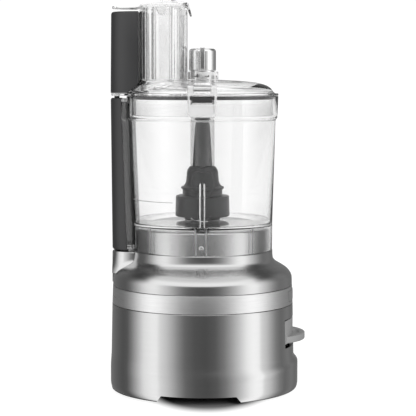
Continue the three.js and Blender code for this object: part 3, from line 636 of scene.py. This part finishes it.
def control_paddle():
    low, high = heights("control_paddle")
    wide = PADDLE_HALF_WIDTH
    face = turned([(101.6, low, 0.5), (104.4, low, 1), (104.4, high, 1), (101.6, high, 0.5)])
    corners = [(-wide, low, 4), (wide, low, 4), (wide, high, 5), (-wide, high, 5)]
    mask = prism(rounded(corners), 60, 125)
    bmesh.ops.rotate(mask, verts=mask.verts, cent=AXIS, matrix=Matrix(((0, 0, 1), (1, 0, 0), (0, 1, 0))))
    face = combined(face, mask, "INTERSECT")
    shelf_r = 50.0
    arc = [(PADDLE_TIP - shelf_r + shelf_r * math.cos(a), shelf_r * math.sin(a))
           for a in (math.radians(-60 + 2 * i) for i in range(61))]
    shelf = prism(arc, 58.5, 66, 2.6, 5)
    shelf = cut(shelf, cylinder(102.8, 40, 90))
    dish = turned([(0, 64.6), (6, 64.6, 3), (13, 67.5), (0, 67.5)], 72, (106.5, 0))
    to_dish = Matrix.Translation(-AXIS - Vector((0.1065, 0, 0)))
    bmesh.ops.scale(dish, verts=dish.verts, vec=(0.62, 1.5, 1), space=to_dish)
    return join(face, cut(shelf, dish))


PADDLE_SATIN = satin_plastic("satin paddle", (0.14, 0.14, 0.14), 0.36, 0.1)


def paddle_works():
    """The barrel, arms and nub behind the face."""
    x, z = 95.0, 72.0
    shape = rod(4.8, -22, 22, "Y", (x, 0, z), bevel=0.6)
    shape = join(shape, block((85.8, x), (-2, 2), (z - 2, z + 2), 0.3))
    for side in (-1, 1):
        y = sorted((side * 11, side * 17))
        shape = join(shape, block((x, 102.2), y, (z - 4, z + 4), 0.3))
    return cut(shape, rod(2.9, -60, 60, "Y", (x, 0, z)))


piece(control_paddle(), "silver_paddle", PADDLE_SATIN, "paddle", "silver_paint", "control_paddle")
piece(paddle_works(), "paddle_barrel", BLACK, "paddle", "black_plastic")

# %% [markdown]
# ## The bowl
# Clear plastic only looks right with true wall thickness, because light bends at both faces. The bowl is one
# closed profile: outer wall, collar, inner wall, floor, the chimney round the shaft, and the skirt that drops
# over the pedestal. Ribs, the rivet and the fill line are small pieces on it.

# %% Bowl
FLOOR_Z = 193.3


def bowl():
    low, high = heights("bowl")
    shape = turned([
        (77.6, low, 0.8), (80.2, low, 0.8), (80.5, 195, 1), (83.8, 310.6, 0.9), (85.9, 313, 1), (86.9, high, 0.9),
        (84.2, high, 0.9), (83.5, 314.2, 1), (81.3, 311.8, 1), (78, FLOOR_Z, 1.6), (13.4, FLOOR_Z, 1.5),
        (12.9, 222, 0.9), (10.6, 222, 0.9), (10.6, 190.7, 1),
        (77.6, 190.7, 1),
    ], corner_steps=4)
    # A half-round rib climbs the front of the wall and leans with it.
    rib = turned([(0, FLOOR_Z - 1), (3.2, FLOOR_Z - 1), (3.2, 243.4, 3), (0, 243.4)], 40, (0, -76.2))
    for vert in rib.verts:
        vert.co.y -= (vert.co.z - FLOOR_Z * MM) * 0.028
    return join(shape, rib)


piece(bowl(), "clear_bowl", CLEAR, "bowl_assembly", "clear_plastic", "bowl")

# %% Ribs, rivet and fill line
def skirt_rib(x, width, radius=80.45):
    """A thin upright rib on the skirt, at a place given by its X."""
    angle = math.asin(x / radius)
    rib = block((-width / 2, width / 2), (-0.9, 0.25), (163.5, 192.5), 0.22, 2)
    bmesh.ops.translate(rib, verts=rib.verts, vec=(0, -radius * MM, 0))
    swing(rib, angle)
    return rib


def rivet():
    head = turned([(0, 0), (2.7, 0, 0.5), (2.5, 1.3, 0.7), (0.9, 1.5, 0.3), (0.7, 0.9, 0.2), (0, 0.9)], 40)
    swing(head, math.pi / 2, "X")
    bmesh.ops.translate(head, verts=head.verts, vec=Vector((-1.0, -80.5, 171)) * MM)
    return head


FROSTED = clear_plastic("frosted edge", (0.96, 0.96, 0.96), 0.28)
for index, (x, width) in enumerate([(-7.3, 1.1), (4.5, 1.1), (-58, 1.0), (56, 1.0)]):
    piece(skirt_rib(x, width), f"skirt_rib_{index + 1}", FROSTED, "bowl_assembly", "clear_plastic")
piece(rivet(), "skirt_rivet", DIAL_SILVER, "bowl_assembly", "dial_finish")


def fill_line():
    ring = turned([(81.0, 220.6, 0.1), (81.5, 220.6, 0.1), (81.5, 221.2, 0.1), (81.0, 221.2, 0.1)])
    keep = block((-80, -33), (-120, 0), (215, 226))
    return combined(ring, keep, "INTERSECT")


MARK = satin_plastic("printed mark", (0.2, 0.2, 0.2), 0.5, 0.1)
piece(fill_line(), "fill_line", MARK, "bowl_assembly", "dark_plastic")

# %% Catch bar
low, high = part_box("catch_bar")
piece(block((-10.8, 10.8), (low[1] / MM, -86.9), (low[2] / MM, high[2] / MM), 0.35), "dark_catch_bar", DARK,
      "bowl_assembly", "dark_plastic", "catch_bar")

# %% [markdown]
# ## The handle
# The grip is the rear of a tall ellipse, cut by a plane that leans with the bowl's wall, and a clear web joins
# it to the bowl. Its outline draws in at the foot and at the top, because the hand and the light find an edge.

# %% Grip
GRIP_FOOT_X, GRIP_TOP_X = -86.4, -93.0


def leaning(z):
    """The column bulges a little at the lid and draws in towards both ends."""
    return 0.7 - abs(z - 342) * (0.0065 if z < 342 else 0.011)


def grip_side(low, high, gap=0.0):
    """The wedge in front of the grip's inner face, from the side."""
    inner = GRIP_FOOT_X + 60
    return [(GRIP_FOOT_X + gap, low), (inner, low), (inner, high), (GRIP_TOP_X + gap, high)]


def handle_grip():
    low, high = heights("handle_grip")
    rise = [(low, -1.6), (low + 0.6, -0.8), (low + 2, 0)]
    rise += [(low + 2 + (high - low - 4) * i / 8, 0) for i in range(1, 9)]
    rise += [(high - 0.6, -0.7), (high, -1.5)]
    shape = lofted(lambda grow: column_outline(grow, -80), [(z, grow + leaning(z)) for z, grow in rise])
    return cut(shape, sideways(grip_side(low - 5, high + 5), -40, 40), rod_bore())


piece(handle_grip(), "dark_grip", DARK, "bowl_assembly", "dark_plastic", "handle_grip")

# %% Clear half of the handle
def handle_frame():
    low, high = heights("handle_frame")
    shape = lofted(lambda grow: column_outline(grow, -72), [
        (low, -1.6), (low + 1, -0.9), (high - 1, -0.9), (high, -1.6),
    ])
    hollow = block((-110, -60), (-13.5, 13.5), (low + 4, high - 4), 1.5)
    bowl_side = turned([
        (0, 150), (80.7, 150), (81, 195), (84.3, 309.6), (86.4, 312.6), (87.3, 345), (0, 345),
    ])
    keep = sideways(grip_side(low, high, 0.4), -40, 40)
    return cut(combined(shape, keep, "INTERSECT"), hollow, bowl_side)


SMOKED = clear_plastic("smoked plastic", (0.3, 0.3, 0.3))
piece(handle_frame(), "smoked_handle_frame", SMOKED, "bowl_assembly", "clear_plastic", "handle_frame")

# %% [markdown]
# ## The chopping blade
# Its hub is a grey moulding: a drum that carries two crescent blades, a ring flange, a bell and a long taper
# that the clear sleeve of the dial surrounds.

# %% Blade hub
def blade_hub():
    return turned([
        (0, 311), (7.2, 311, 1.6), (8.6, 304, 4), (11.4, 257, 0.8), (14.6, 256.4, 1.2), (17.8, 252, 2.6),
        (18.5, 244, 4), (19, 237.5, 3), (22, 233, 1.4), (24.7, 232.4, 0.6), (24.7, 230.4, 0.6),
        (22.9, 229, 0.8), (22.9, 222.4, 0.8),
        (30.8, 221.8, 1.4), (31.4, 198.2, 1.2), (20.8, 198, 0.8), (20.8, 194, 0.8), (15, 194, 0.5), (15, 225),
        (7.6, 225), (7.6, 252), (0, 252),
    ], 120)


def hub_panel(side):
    """A raised arched panel on the bell, on the camera's side or the far one."""
    outline = rounded([
        (-11, 224, 2), (-14.5, 236, 6), (-9.4, 252, 5), (9.4, 252, 5), (14.5, 236, 6), (11, 224, 2),
    ])
    y = sorted((side * 10, side * 21.4))
    return sideways(outline, *y, 1.2)


piece(join(blade_hub(), hub_panel(-1), hub_panel(1)), "grey_blade_hub", BLADE_GREY, "blade", "blade_plastic",
      "blade_hub")

# %% Crescent blades
def crescent(node, turn):
    """A hooked blade: its outline extruded to the part's thickness, with rounded rims."""
    low, high = heights(node)
    tip = 73.8
    lead = [Vector((24, -11)), Vector((60, -19)), Vector((tip, 6))]
    trail = [Vector((tip, 6)), Vector((52, 3)), Vector((24, 11))]

    def curve(a, b, c, count=24):
        return [a.lerp(b, i / count).lerp(b.lerp(c, i / count), i / count) for i in range(count + 1)]

    outline = [tuple(p) for p in curve(*lead) + curve(*trail)[1:]]
    shape = prism(outline, low, high, 0.45, 2)
    swing(shape, math.radians(turn))
    return shape


piece(crescent("upper_blade", 90), "steel_upper_blade", STEEL, "blade", "steel", "upper_blade")
piece(crescent("lower_blade", -90), "steel_lower_blade", STEEL, "blade", "steel", "lower_blade")

# %% [markdown]
# ## Lid and feed tube
# The lid and its oval tube are one clear moulding. The tube flares where it meets the dome, as a moulded tube
# must so that it fills and releases. The solid is joined first and hollowed last: a single cut through both
# leaves no hidden faces inside the plastic, and hidden faces would show as false lines.

# %% Lid
TUBE_X, TUBE_HALF_DEPTH, TUBE_HALF_WIDTH, TUBE_POWER = -44.3, 27.2, 44.0, 2.6
LID_Z, TUBE_TOP_Z = heights("feed_chute")
FLANGE_TOP_Z = 341.0


def tube_outline(grow):
    return oval(TUBE_HALF_DEPTH + grow, TUBE_HALF_WIDTH + grow, TUBE_POWER, 144, (TUBE_X, 0))


FLARE = [(341.2, 14.8), (345, 10.4), (349, 5.8), (352, 2.4), (354, 0.8), (356, 0.15), (358, 0)]


def tube_side(x, grow):
    """Half the tube's width at x."""
    along = abs(x - TUBE_X) / (TUBE_HALF_DEPTH + grow)
    return (TUBE_HALF_WIDTH + grow) * (1 - along ** TUBE_POWER) ** (1 / TUBE_POWER)


def flare(grow, top):
    """The outside of the tube with its spreading foot."""
    return lofted(tube_outline, [(z, extra + grow) for z, extra in FLARE] + [(top, grow)])


def clear_lid():
    dome = turned([
        (0, 356.6), (19, 356.5), (49.8, 354.9, 14), (67.3, 352.4, 8), (77.4, 348.4, 7), (82.4, FLANGE_TOP_Z, 3),
        (86.9, FLANGE_TOP_Z, 0.8), (86.9, LID_Z, 0.8), (81.2, LID_Z, 0.5), (81.2, 316, 0.6), (79, 316, 0.6),
        (79, 341, 4), (74, 346.4, 6), (49.6, 352.2, 14), (19, 353.9), (0, 354),
    ], corner_steps=6)
    tongue = prism(column_outline(0, -78), LID_Z, FLANGE_TOP_Z, 0.6)
    tongue = cut(tongue, cylinder(83.5, 330, 350))
    knuckle = rod(4, -9.4, 9.4, "X", (0, -87.5, 346), bevel=0.5)
    lug = block((-9.4, 9.4), (-87.5, -81), (340.4, 349.4), 0.6)
    shape = join(dome, tongue, join(knuckle, lug), flare(0, TUBE_TOP_Z))
    hollow = lofted(tube_outline, [(LID_Z + 6, -2.6), (TUBE_TOP_Z + 2, -2.2)])
    under = turned([(0, 300), (78.8, 300), (78.8, 341, 4), (74, 346.2, 6), (49.6, 352, 14), (0, 353.8)],
                   corner_steps=6)
    foot = lofted(tube_outline, [
        (343.6, 9.6), (345.6, 7.2), (349, 3.2), (351.6, 0.2), (353.4, -1.8), (355, -2.4),
    ])
    dial_room = cylinder(19.2, 357.1, 380, 96)
    stem = cylinder(8, 340, 370, 72)
    pin_hole = rod(1.8, -20, 20, "X", (0, -87.5, 346), 32)
    return cut(shape, hollow, under, foot, dial_room, stem, pin_hole)


def chute_skirt():
    """The tube's lower end, which guides food down to the blade under the dome."""
    ring = lofted(tube_outline, [(LID_Z, -0.6), (351, -0.6)])
    return cut(ring, lofted(tube_outline, [(LID_Z - 2, -2.8), (356, -2.8)]))


piece(clear_lid(), "clear_lid", PURE_CLEAR, "lid_assembly", "clear_plastic", "lid", "feed_chute")
piece(chute_skirt(), "clear_chute_skirt", PURE_CLEAR, "lid_assembly", "clear_plastic")

# %% Gasket
low, high = heights("lid_gasket")
piece(turned([(81.5, low, 0.4), (83.3, low + 0.5, 0.5), (83.3, high - 0.5, 0.5), (81.5, high, 0.4)]),
      "dark_gasket", SEAL, "lid_assembly", "seal_rubber", "lid_gasket")

# %% [markdown]
# The rear of the tube is covered by a satin dark shell that carries on the line of the handle. Its foot follows
# the dome and the flare, so it is cut by the same shapes, grown a little for clearance.

# %% Chute housing
def chute_housing():
    low, high = heights("chute_housing")
    levels = [(low, -1.2), (low + 0.6, -0.9), (370, -0.9), (400, -0.9), (high - 3, -0.9), (high - 1.2, -1.4),
              (high - 0.4, -2.3), (high, -3.6)]
    shape = lofted(lambda grow: column_outline(grow, -64), [(z, grow + leaning(z) + 0.9) for z, grow in levels])
    front = block((-72.6, 0), (-60, 60), (300, 460))
    dome = turned([(0, 300), (84, 300), (84, 343.6, 3), (78.4, 349.6, 7), (68, 353.6, 8), (0, 357.6)])
    return cut(shape, front, flare(0.5, 460), dome)


piece(chute_housing(), "dark_chute_housing", DARK, "lid_assembly", "dark_plastic", "chute_housing")

# %% [markdown]
# ## Slicing dial
# A silvered knob with a finger rib stands in a clear ring. The ring has small raised marks for thin to thick
# slices, and a clear sleeve hangs from the dial round the blade's hub.

# %% Dial
def slice_dial():
    shape = turned([
        (0, 391.8), (13.4, 391.8, 1), (15.5, 389.6, 1.4), (15.5, 367.2, 0.6), (13.6, 366.6), (13.6, 357.4, 0.5),
        (7, 357.4, 0.5), (7, 351.4, 0.5), (0, 351.4),
    ], 144)
    bar = block((-2.9, 2.9), (-16.6, 16.6), (367.8, 393.2), 0.9, 4)
    return join(shape, bar)


piece(slice_dial(), "silvered_dial", DIAL_SILVER, "dial", "dial_finish", "slice_dial")
piece(turned([
    (0, 351), (13.2, 351, 0.8), (14, 350, 0.6), (14, 257.4, 0.4), (12.4, 257.4, 0.4), (12.4, 347.6, 1),
    (0, 347.6),
], 120), "clear_dial_sleeve", clear_plastic("smoked sleeve", (0.85, 0.85, 0.85)), "dial", "clear_plastic",
      "dial_sleeve")


def dial_ring():
    ring = turned([(16.1, 357, 0.4), (18.1, 357, 0.4), (18.1, 365.6, 0.5), (16.1, 365.6, 0.5)], 120)
    return cut(ring, flare(0.35, 400))


piece(dial_ring(), "clear_dial_ring", CLEAR, "lid_assembly", "clear_plastic", "dial_ring")


def slice_mark(turn, bars):
    """A few stepped bars on the ring, more of them for a thicker slice."""
    mark = bmesh.new()
    for i in range(bars):
        bar = block((i * 1.5 - 2.4, i * 1.5 - 1.3), (-18.5, -18.15), (359.2, 360.6 + i * 1.1), 0.1, 1)
        mesh = bpy.data.meshes.new("bar")
        bar.to_mesh(mesh)
        bar.free()
        mark.from_mesh(mesh)
        bpy.data.meshes.remove(mesh)
    swing(mark, math.radians(turn))
    return mark


for index, (turn, bars) in enumerate([(-22, 3), (24, 2), (66, 1)]):
    piece(slice_mark(turn, bars), f"slice_mark_{index + 1}", BLACK, "lid_assembly", "black_plastic")

# %% [markdown]
# ## Latch
# A half-clear flap hinged on the lid. Its window shows the dark catch, and its border is what is left round the
# plain field that is cut into its face. A share of plain colour in the plastic hides what is behind it.

# %% Latch
def lid_latch():
    half, low, high = 16.0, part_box("lid_latch")[0][2] / MM, 348.6
    frame_outline = rounded([(-half, low, 5), (half, low, 5), (half, high, 4), (-half, high, 4)], steps=8)
    shape = sideways(frame_outline, -91.7, -88.7, 0.7)
    window = rounded([(-13.4, 329.3, 1), (13.4, 329.3, 1), (13.4, 339.4, 1), (-13.4, 339.4, 1)])
    window = sideways(window, -95, -85)
    field = rounded([(-13.2, 318.4, 3), (13.2, 318.4, 3), (13.2, 327, 2), (-13.2, 327, 2)], steps=6)
    field = sideways(field, -95, -90.7)
    for side in (-1, 1):
        x = sorted((side * 10, side * half))
        shape = join(shape, rod(4.2, *x, "X", (0, -87.5, 346), bevel=0.8))
    barrel_room = block((-9.9, 9.9), (-93, -80), (340.9, 352))
    return cut(shape, window, field, barrel_room, rod(1.8, -20, 20, "X", (0, -87.5, 346), 32))


LATCH_CLEAR = Finish("latch plastic", (0.86, 0.86, 0.86), 0.12, Transmission_Weight=0.72, IOR=1.49)
LATCH_CLEAR = LATCH_CLEAR.bump(LATCH_CLEAR.effect(DRAWN, Scale=34.0)["Height"], 0.05, 0.2).material
piece(lid_latch(), "clear_latch", LATCH_CLEAR, "latch", "clear_plastic", "lid_latch")
piece(rod(1.4, -15.4, 15.4, "X", (0, -87.5, 346), 32, 0.3), "steel_latch_pin", STEEL, "lid_assembly", "steel",
      "latch_pin")

# %% [markdown]
# ## Pushers
# The large pusher fills the tube and its cap arches over it, with a flat tail over the housing and a lip in
# front. The small pusher stands in a throat inside it, and a dish for the thumb closes its mouth.

# %% Large pusher
SMALL_X, SMALL_R = -46.6, 12.4
PUSHER_FOOT_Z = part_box("large_pusher")[0][2] / MM
CAP_THICKNESS = 2.4
CAP_FRONT = -15.4


def cap_line(depth, count=28):
    """The cap's upper line lowered by a depth, from the front of the tube to the tail."""
    a, b, c = (Vector((x, z - depth)) for x, z in ((CAP_FRONT - depth, 441.6), (-36, 448.4), (-77, 439.6)))
    arch = [a.lerp(b, i / count).lerp(b.lerp(c, i / count), i / count) for i in range(count + 1)]
    return [tuple(p) for p in arch] + [(-103, 439.6 - depth)]


def cap_plan(grow):
    """The tube's oval joined with the handle's ellipse, as one shape to keep the cap inside."""
    body = lofted(tube_outline, [(436, 1.4 + grow), (460, 1.4 + grow)])
    tail = prism(column_outline(-1.5 + grow, -66), 436, 460)
    lip = combined(lofted(tube_outline, [(420, 5.2 + grow), (460, 5.2 + grow)]),
                   block((-28, 0), (-60, 60), (420, 460)), "INTERSECT")
    return join(body, tail, lip)


def large_pusher():
    floor = PUSHER_FOOT_Z + 2.2
    below = [(-103, 300), (CAP_FRONT, 300)] + cap_line(CAP_THICKNESS / 2)
    body = lofted(tube_outline, [
        (PUSHER_FOOT_Z, -4.4), (PUSHER_FOOT_Z + 0.5, -3.5), (PUSHER_FOOT_Z + 1.6, -3.1), (452, -3.1),
    ])
    body = combined(body, sideways(below, -60, 60), "INTERSECT")
    hollow = lofted(tube_outline, [(floor, -6.2), (floor + 1.2, -5.2), (437.4, -5.2)])
    throat = cylinder(SMALL_R + 2.2, 340, 460, 96, (SMALL_X, 0))
    side = cap_line(0)[::-1] + [(-12.1, 429.2), (-14.4, 429.4)] + cap_line(CAP_THICKNESS)
    cap = combined(sideways(side, -60, 60), cap_plan(0), "INTERSECT")
    bore = cylinder(SMALL_R + 0.5, floor - 0.6, 460, 96, (SMALL_X, 0))
    drain = cylinder(SMALL_R - 1.6, 340, 358, 72, (SMALL_X, 0))
    vent = cylinder(3, 425, 460, 32, (TUBE_X, 28))
    ribs = [cylinder(1.2, 340, 460, 20, (x, side * tube_side(x, -5.1)))
            for x in (-62, -53, -36, -28) for side in (-1, 1)]
    room = join(cut(hollow, throat, *ribs), vent)  # the vent opens the room before it is taken out
    return cut(join(body, cap), room, bore, drain)


piece(large_pusher(), "clear_large_pusher", PURE_CLEAR, "pusher", "clear_plastic", "large_pusher")

# %% Small pusher
def small_pusher():
    low, high = heights("small_pusher")
    return turned([
        (0, low), (SMALL_R - 0.6, low, 0.8), (SMALL_R, low + 2, 1), (SMALL_R, high, 0.6), (SMALL_R - 1.5, high, 0.6),
        (SMALL_R - 1.5, low + 1.8, 1), (0, low + 1.8),
    ], 120, (SMALL_X, 0))


def thumb_cup():
    rim = SMALL_R - 1.9
    return turned([
        (0, 428.4), (3.4, 429.6, 2), (rim - 1.6, 437.4, 2), (rim, 439, 1), (rim, 440.6, 0.4),
        (rim - 1.6, 440.6, 0.6), (rim - 2.4, 438.4, 1.5), (2.8, 431.4, 2), (0, 430.2),
    ], 96, (SMALL_X, 0))


piece(small_pusher(), "clear_small_pusher", PURE_CLEAR, "inner_pusher", "clear_plastic", "small_pusher")
piece(thumb_cup(), "clear_thumb_cup", PURE_CLEAR, "inner_pusher", "clear_plastic", "thumb_cup")

# %% [markdown]
# ## The works
# What is inside the base keeps the model's own shapes, and each gets the finish of the real thing: cast zinc,
# ground steel, varnished sheet stacks, copper and a printed board.

# %% Finishes for the works
WORKS = [
    (BLACK, "base_plate speed_switch paddle_tray interlock_switch cooling_fan driven_pulley "
            "interlock_plunger interlock_rod"),
    (RUBBER, "cord_gland drive_belt"),
    (ZINC, "chassis_plate bearing_housing motor_upper_bracket motor_lower_bracket motor_pulley"),
    (STEEL, "upper_bearing lower_bearing paddle_pin motor_shaft drive_shaft base_screw_1 base_screw_2 "
            "base_screw_3 base_screw_4"),
    (SEAL, "shaft_seal"),
    (SHEETS, "motor_stator armature"),
    (COPPER, "brush_holder_left brush_holder_right commutator"),
    (BOARD, "control_board"),
]
for material, names in WORKS:
    for node in (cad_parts[name] for name in names.split()):
        for place in node.material_slots:
            place.material = material
        if not node.material_slots:
            node.data.materials.append(material)
    print(material.name, "on", names)

# %% [markdown]
# ## Studio
# A white surround, and a pale floor that emits light everywhere except under the machine, where the contact
# shadow is painted. What gives satin metal its look is what it reflects: tall soft strips on both sides, a dark gap
# in front and a broad light overhead. The surround is one ramp round the horizon with an overhead part, so every
# strip has the soft edge of a real softbox.

# %% Node helpers for the studio
def ramp_node(nodes, stops, low, high):
    """A colour ramp whose stops are (value, brightness), with the values between low and high."""
    ramp = nodes.new("ShaderNodeValToRGB")
    elements = ramp.color_ramp.elements
    for index, (value, light) in enumerate(stops):
        place = (value - low) / (high - low)
        element = elements[index] if index < 2 else elements.new(place)
        element.position = place
        element.color = (light / 2, light / 2, light / 2, 1)
    return ramp


def math_node(nodes, links, operation, *values):
    node = nodes.new("ShaderNodeMath")
    node.operation = operation
    for socket, value in zip(node.inputs, values):
        if isinstance(value, (int, float)):
            socket.default_value = value
        else:
            links.new(value, socket)
    return node.outputs["Value"]


def spread(nodes, links, value, low, high, first, last):
    """A soft step: first up to low, last from high on."""
    node = nodes.new("ShaderNodeMapRange")
    node.interpolation_type = "SMOOTHSTEP"
    for label, number in (("From Min", low), ("From Max", high), ("To Min", first), ("To Max", last)):
        node.inputs[label].default_value = number
    links.new(value, node.inputs["Value"])
    return node.outputs["Result"]


def mixed(nodes, links, factor, a, b):
    """A colour mix; a and b are sockets or grey levels."""
    node = nodes.new("ShaderNodeMix")
    node.data_type = "RGBA"
    links.new(factor, node.inputs["Factor"])
    for label, value in (("A", a), ("B", b)):
        if isinstance(value, float):
            node.inputs[label].default_value = (value, value, value, 1)
        else:
            links.new(value, node.inputs[label])
    return node.outputs["Result"]


# %% Floor
floor_mesh = bmesh.new()
bmesh.ops.create_grid(floor_mesh, x_segments=1, y_segments=1, size=30)
mesh = bpy.data.meshes.new("studio_floor")
floor_mesh.to_mesh(mesh)
floor_mesh.free()
floor = bpy.data.objects.new("studio_floor", mesh)
bpy.context.collection.objects.link(floor)
floor.visible_glossy = False


def paper_with_painted_shadow():
    """White paper that emits light like a light table. Its emission fades out in an oval under the machine, which
    paints the contact shadow there; only the paper's dim diffuse colour takes a faint real shadow.
    """
    finish = Finish("paper with painted shadow", (0.12, 0.12, 0.12), 0.9, Emission_Color=(1, 1, 1, 1))
    place = finish.nodes.new("ShaderNodeTexCoord")
    mapping = finish.nodes.new("ShaderNodeMapping")
    mapping.inputs["Scale"].default_value = (1.8, 1.0, 0.0)
    length = finish.nodes.new("ShaderNodeVectorMath")
    length.operation = "LENGTH"
    finish.links.new(place.outputs["Object"], mapping.inputs["Vector"])
    finish.links.new(mapping.outputs["Vector"], length.inputs[0])
    # Painted shadow: the emission is zero inside an oval under the machine and rises to full outside it.
    emission_outside_painted_shadow = spread(finish.nodes, finish.links, length.outputs["Value"], 0.106, 0.144, 0.0, 0.91)
    finish.links.new(emission_outside_painted_shadow, finish.shader.inputs["Emission Strength"])
    return finish.material


mesh.materials.append(paper_with_painted_shadow())

# %% Surround
STRIPS = [  # (degrees round from the camera, positive to the right; brightness)
    (-180, 0.24), (-142, 0.19), (-118, 0.13), (-108, 0.15), (-100, 0.33), (-92, 0.62), (-86, 0.88), (-78, 1.3),
    (-66, 1.5), (-58, 1.5), (-55.5, 1.24), (-46, 0.98), (-38, 0.7), (-31, 0.44), (-22, 0.22), (-10, 0.14),
    (4, 0.12), (16, 0.16), (27, 0.32), (36, 0.58), (46, 0.96), (58, 1.5), (66, 1.65),
    (75, 1.6), (78, 1.2), (88, 0.9), (97, 0.56), (105, 0.34), (116, 0.22), (134, 0.28), (150, 0.2), (180, 0.24),
]
# (sine of elevation, brightness)
OVERHEAD = [(-1, 0), (0.22, 0), (0.4, 1.5), (0.74, 1.5), (0.84, 1.15), (0.93, 1.08), (1, 1.0)]


def build_world():
    world = bpy.data.worlds.new("studio surround")
    bpy.context.scene.world = world
    world.use_nodes = True
    nodes, links = world.node_tree.nodes, world.node_tree.links
    background = nodes["Background"]
    split = nodes.new("ShaderNodeSeparateXYZ")
    links.new(nodes.new("ShaderNodeTexCoord").outputs["Generated"], split.inputs["Vector"])
    x, y, z = split.outputs

    # The strips stand round the horizon and end half-way up.
    ahead = math_node(nodes, links, "MULTIPLY", y, -1.0)
    round_angle = math_node(nodes, links, "ARCTAN2", x, ahead)
    strips = ramp_node(nodes, STRIPS, -180, 180)
    links.new(math_node(nodes, links, "MULTIPLY_ADD", round_angle, 0.5 / math.pi, 0.5), strips.inputs["Fac"])
    standing = mixed(nodes, links, spread(nodes, links, z, 0.42, 0.72, 1.0, 0.2), 0.0, strips.outputs["Color"])

    # A long softbox hangs over the middle, from front to back.
    overhead = ramp_node(nodes, OVERHEAD, -1, 1)
    links.new(math_node(nodes, links, "MULTIPLY_ADD", z, 0.5, 0.5), overhead.inputs["Fac"])
    back = math_node(nodes, links, "MULTIPLY_ADD", math_node(nodes, links, "ABSOLUTE", x), 1.1, y)
    over_middle = spread(nodes, links, back, 0.72, 0.95, 1.0, 0.0)
    hanging = mixed(nodes, links, over_middle, 0.0, overhead.outputs["Color"])
    lighter = nodes.new("ShaderNodeMix")
    lighter.data_type, lighter.blend_type = "RGBA", "LIGHTEN"
    lighter.inputs["Factor"].default_value = 1.0
    links.new(standing, lighter.inputs["A"])
    links.new(hanging, lighter.inputs["B"])
    doubled = nodes.new("ShaderNodeVectorMath")
    doubled.operation = "SCALE"
    doubled.inputs["Scale"].default_value = 2.0
    links.new(lighter.outputs["Result"], doubled.inputs[0])
    studio = doubled.outputs["Vector"]

    # What is seen through the clear parts is the white backdrop, and the dark studio at its sides.
    path = nodes.new("ShaderNodeLightPath")
    backdrop = spread(nodes, links, y, 0.6, 0.95, 0.0, 1.0)
    through = mixed(nodes, links, backdrop, studio, 1.0)
    mirrored = mixed(nodes, links, path.outputs["Is Transmission Ray"], studio, through)
    plain = mixed(nodes, links, path.outputs["Is Diffuse Ray"], through, AMBIENT)
    glossy = mixed(nodes, links, path.outputs["Is Glossy Ray"], plain, mirrored)
    links.new(mixed(nodes, links, path.outputs["Is Camera Ray"], glossy, 1.05), background.inputs["Color"])
    return world


AMBIENT = 1.0
build_world()

# %% Key light
def area_light(name, place, size, power):
    data = bpy.data.lights.new(name, "AREA")
    data.shape, data.size, data.size_y, data.energy = "RECTANGLE", size[0], size[1], power
    light = bpy.data.objects.new(name, data)
    light.location = place
    light.rotation_euler = (Vector((0, 0, 0.2)) - Vector(place)).to_track_quat("-Z", "Y").to_euler()
    light.visible_glossy = False
    light.visible_transmission = False
    bpy.context.collection.objects.link(light)


area_light("key softbox", (0.9, -1.5, 0.9), (0.7, 0.9), 45)

# %% Camera
CAMERA_SIDE, CAMERA_DISTANCE, CAMERA_HEIGHT = 0.006323, 1.652, 0.347
LENS_MM, SENSOR_MM = 124.3558, 36
TILT_DOWN = math.radians(4.77)
camera_data = bpy.data.cameras.new("product camera")
camera_data.sensor_width, camera_data.lens, camera_data.clip_end = SENSOR_MM, LENS_MM, 100
camera = bpy.data.objects.new("product camera", camera_data)
camera.location = (AXIS_X + CAMERA_SIDE, -CAMERA_DISTANCE, CAMERA_HEIGHT)
camera.rotation_euler = (math.pi / 2 - TILT_DOWN, 0, 0)
bpy.context.collection.objects.link(camera)
bpy.context.scene.camera = camera

# %% Light paths and tone
scene = bpy.context.scene
scene.view_settings.view_transform = "Standard"
scene.cycles.max_bounces = 40
scene.cycles.transmission_bounces = 40
scene.cycles.glossy_bounces = 8
scene.cycles.caustics_reflective = False
scene.cycles.caustics_refractive = True
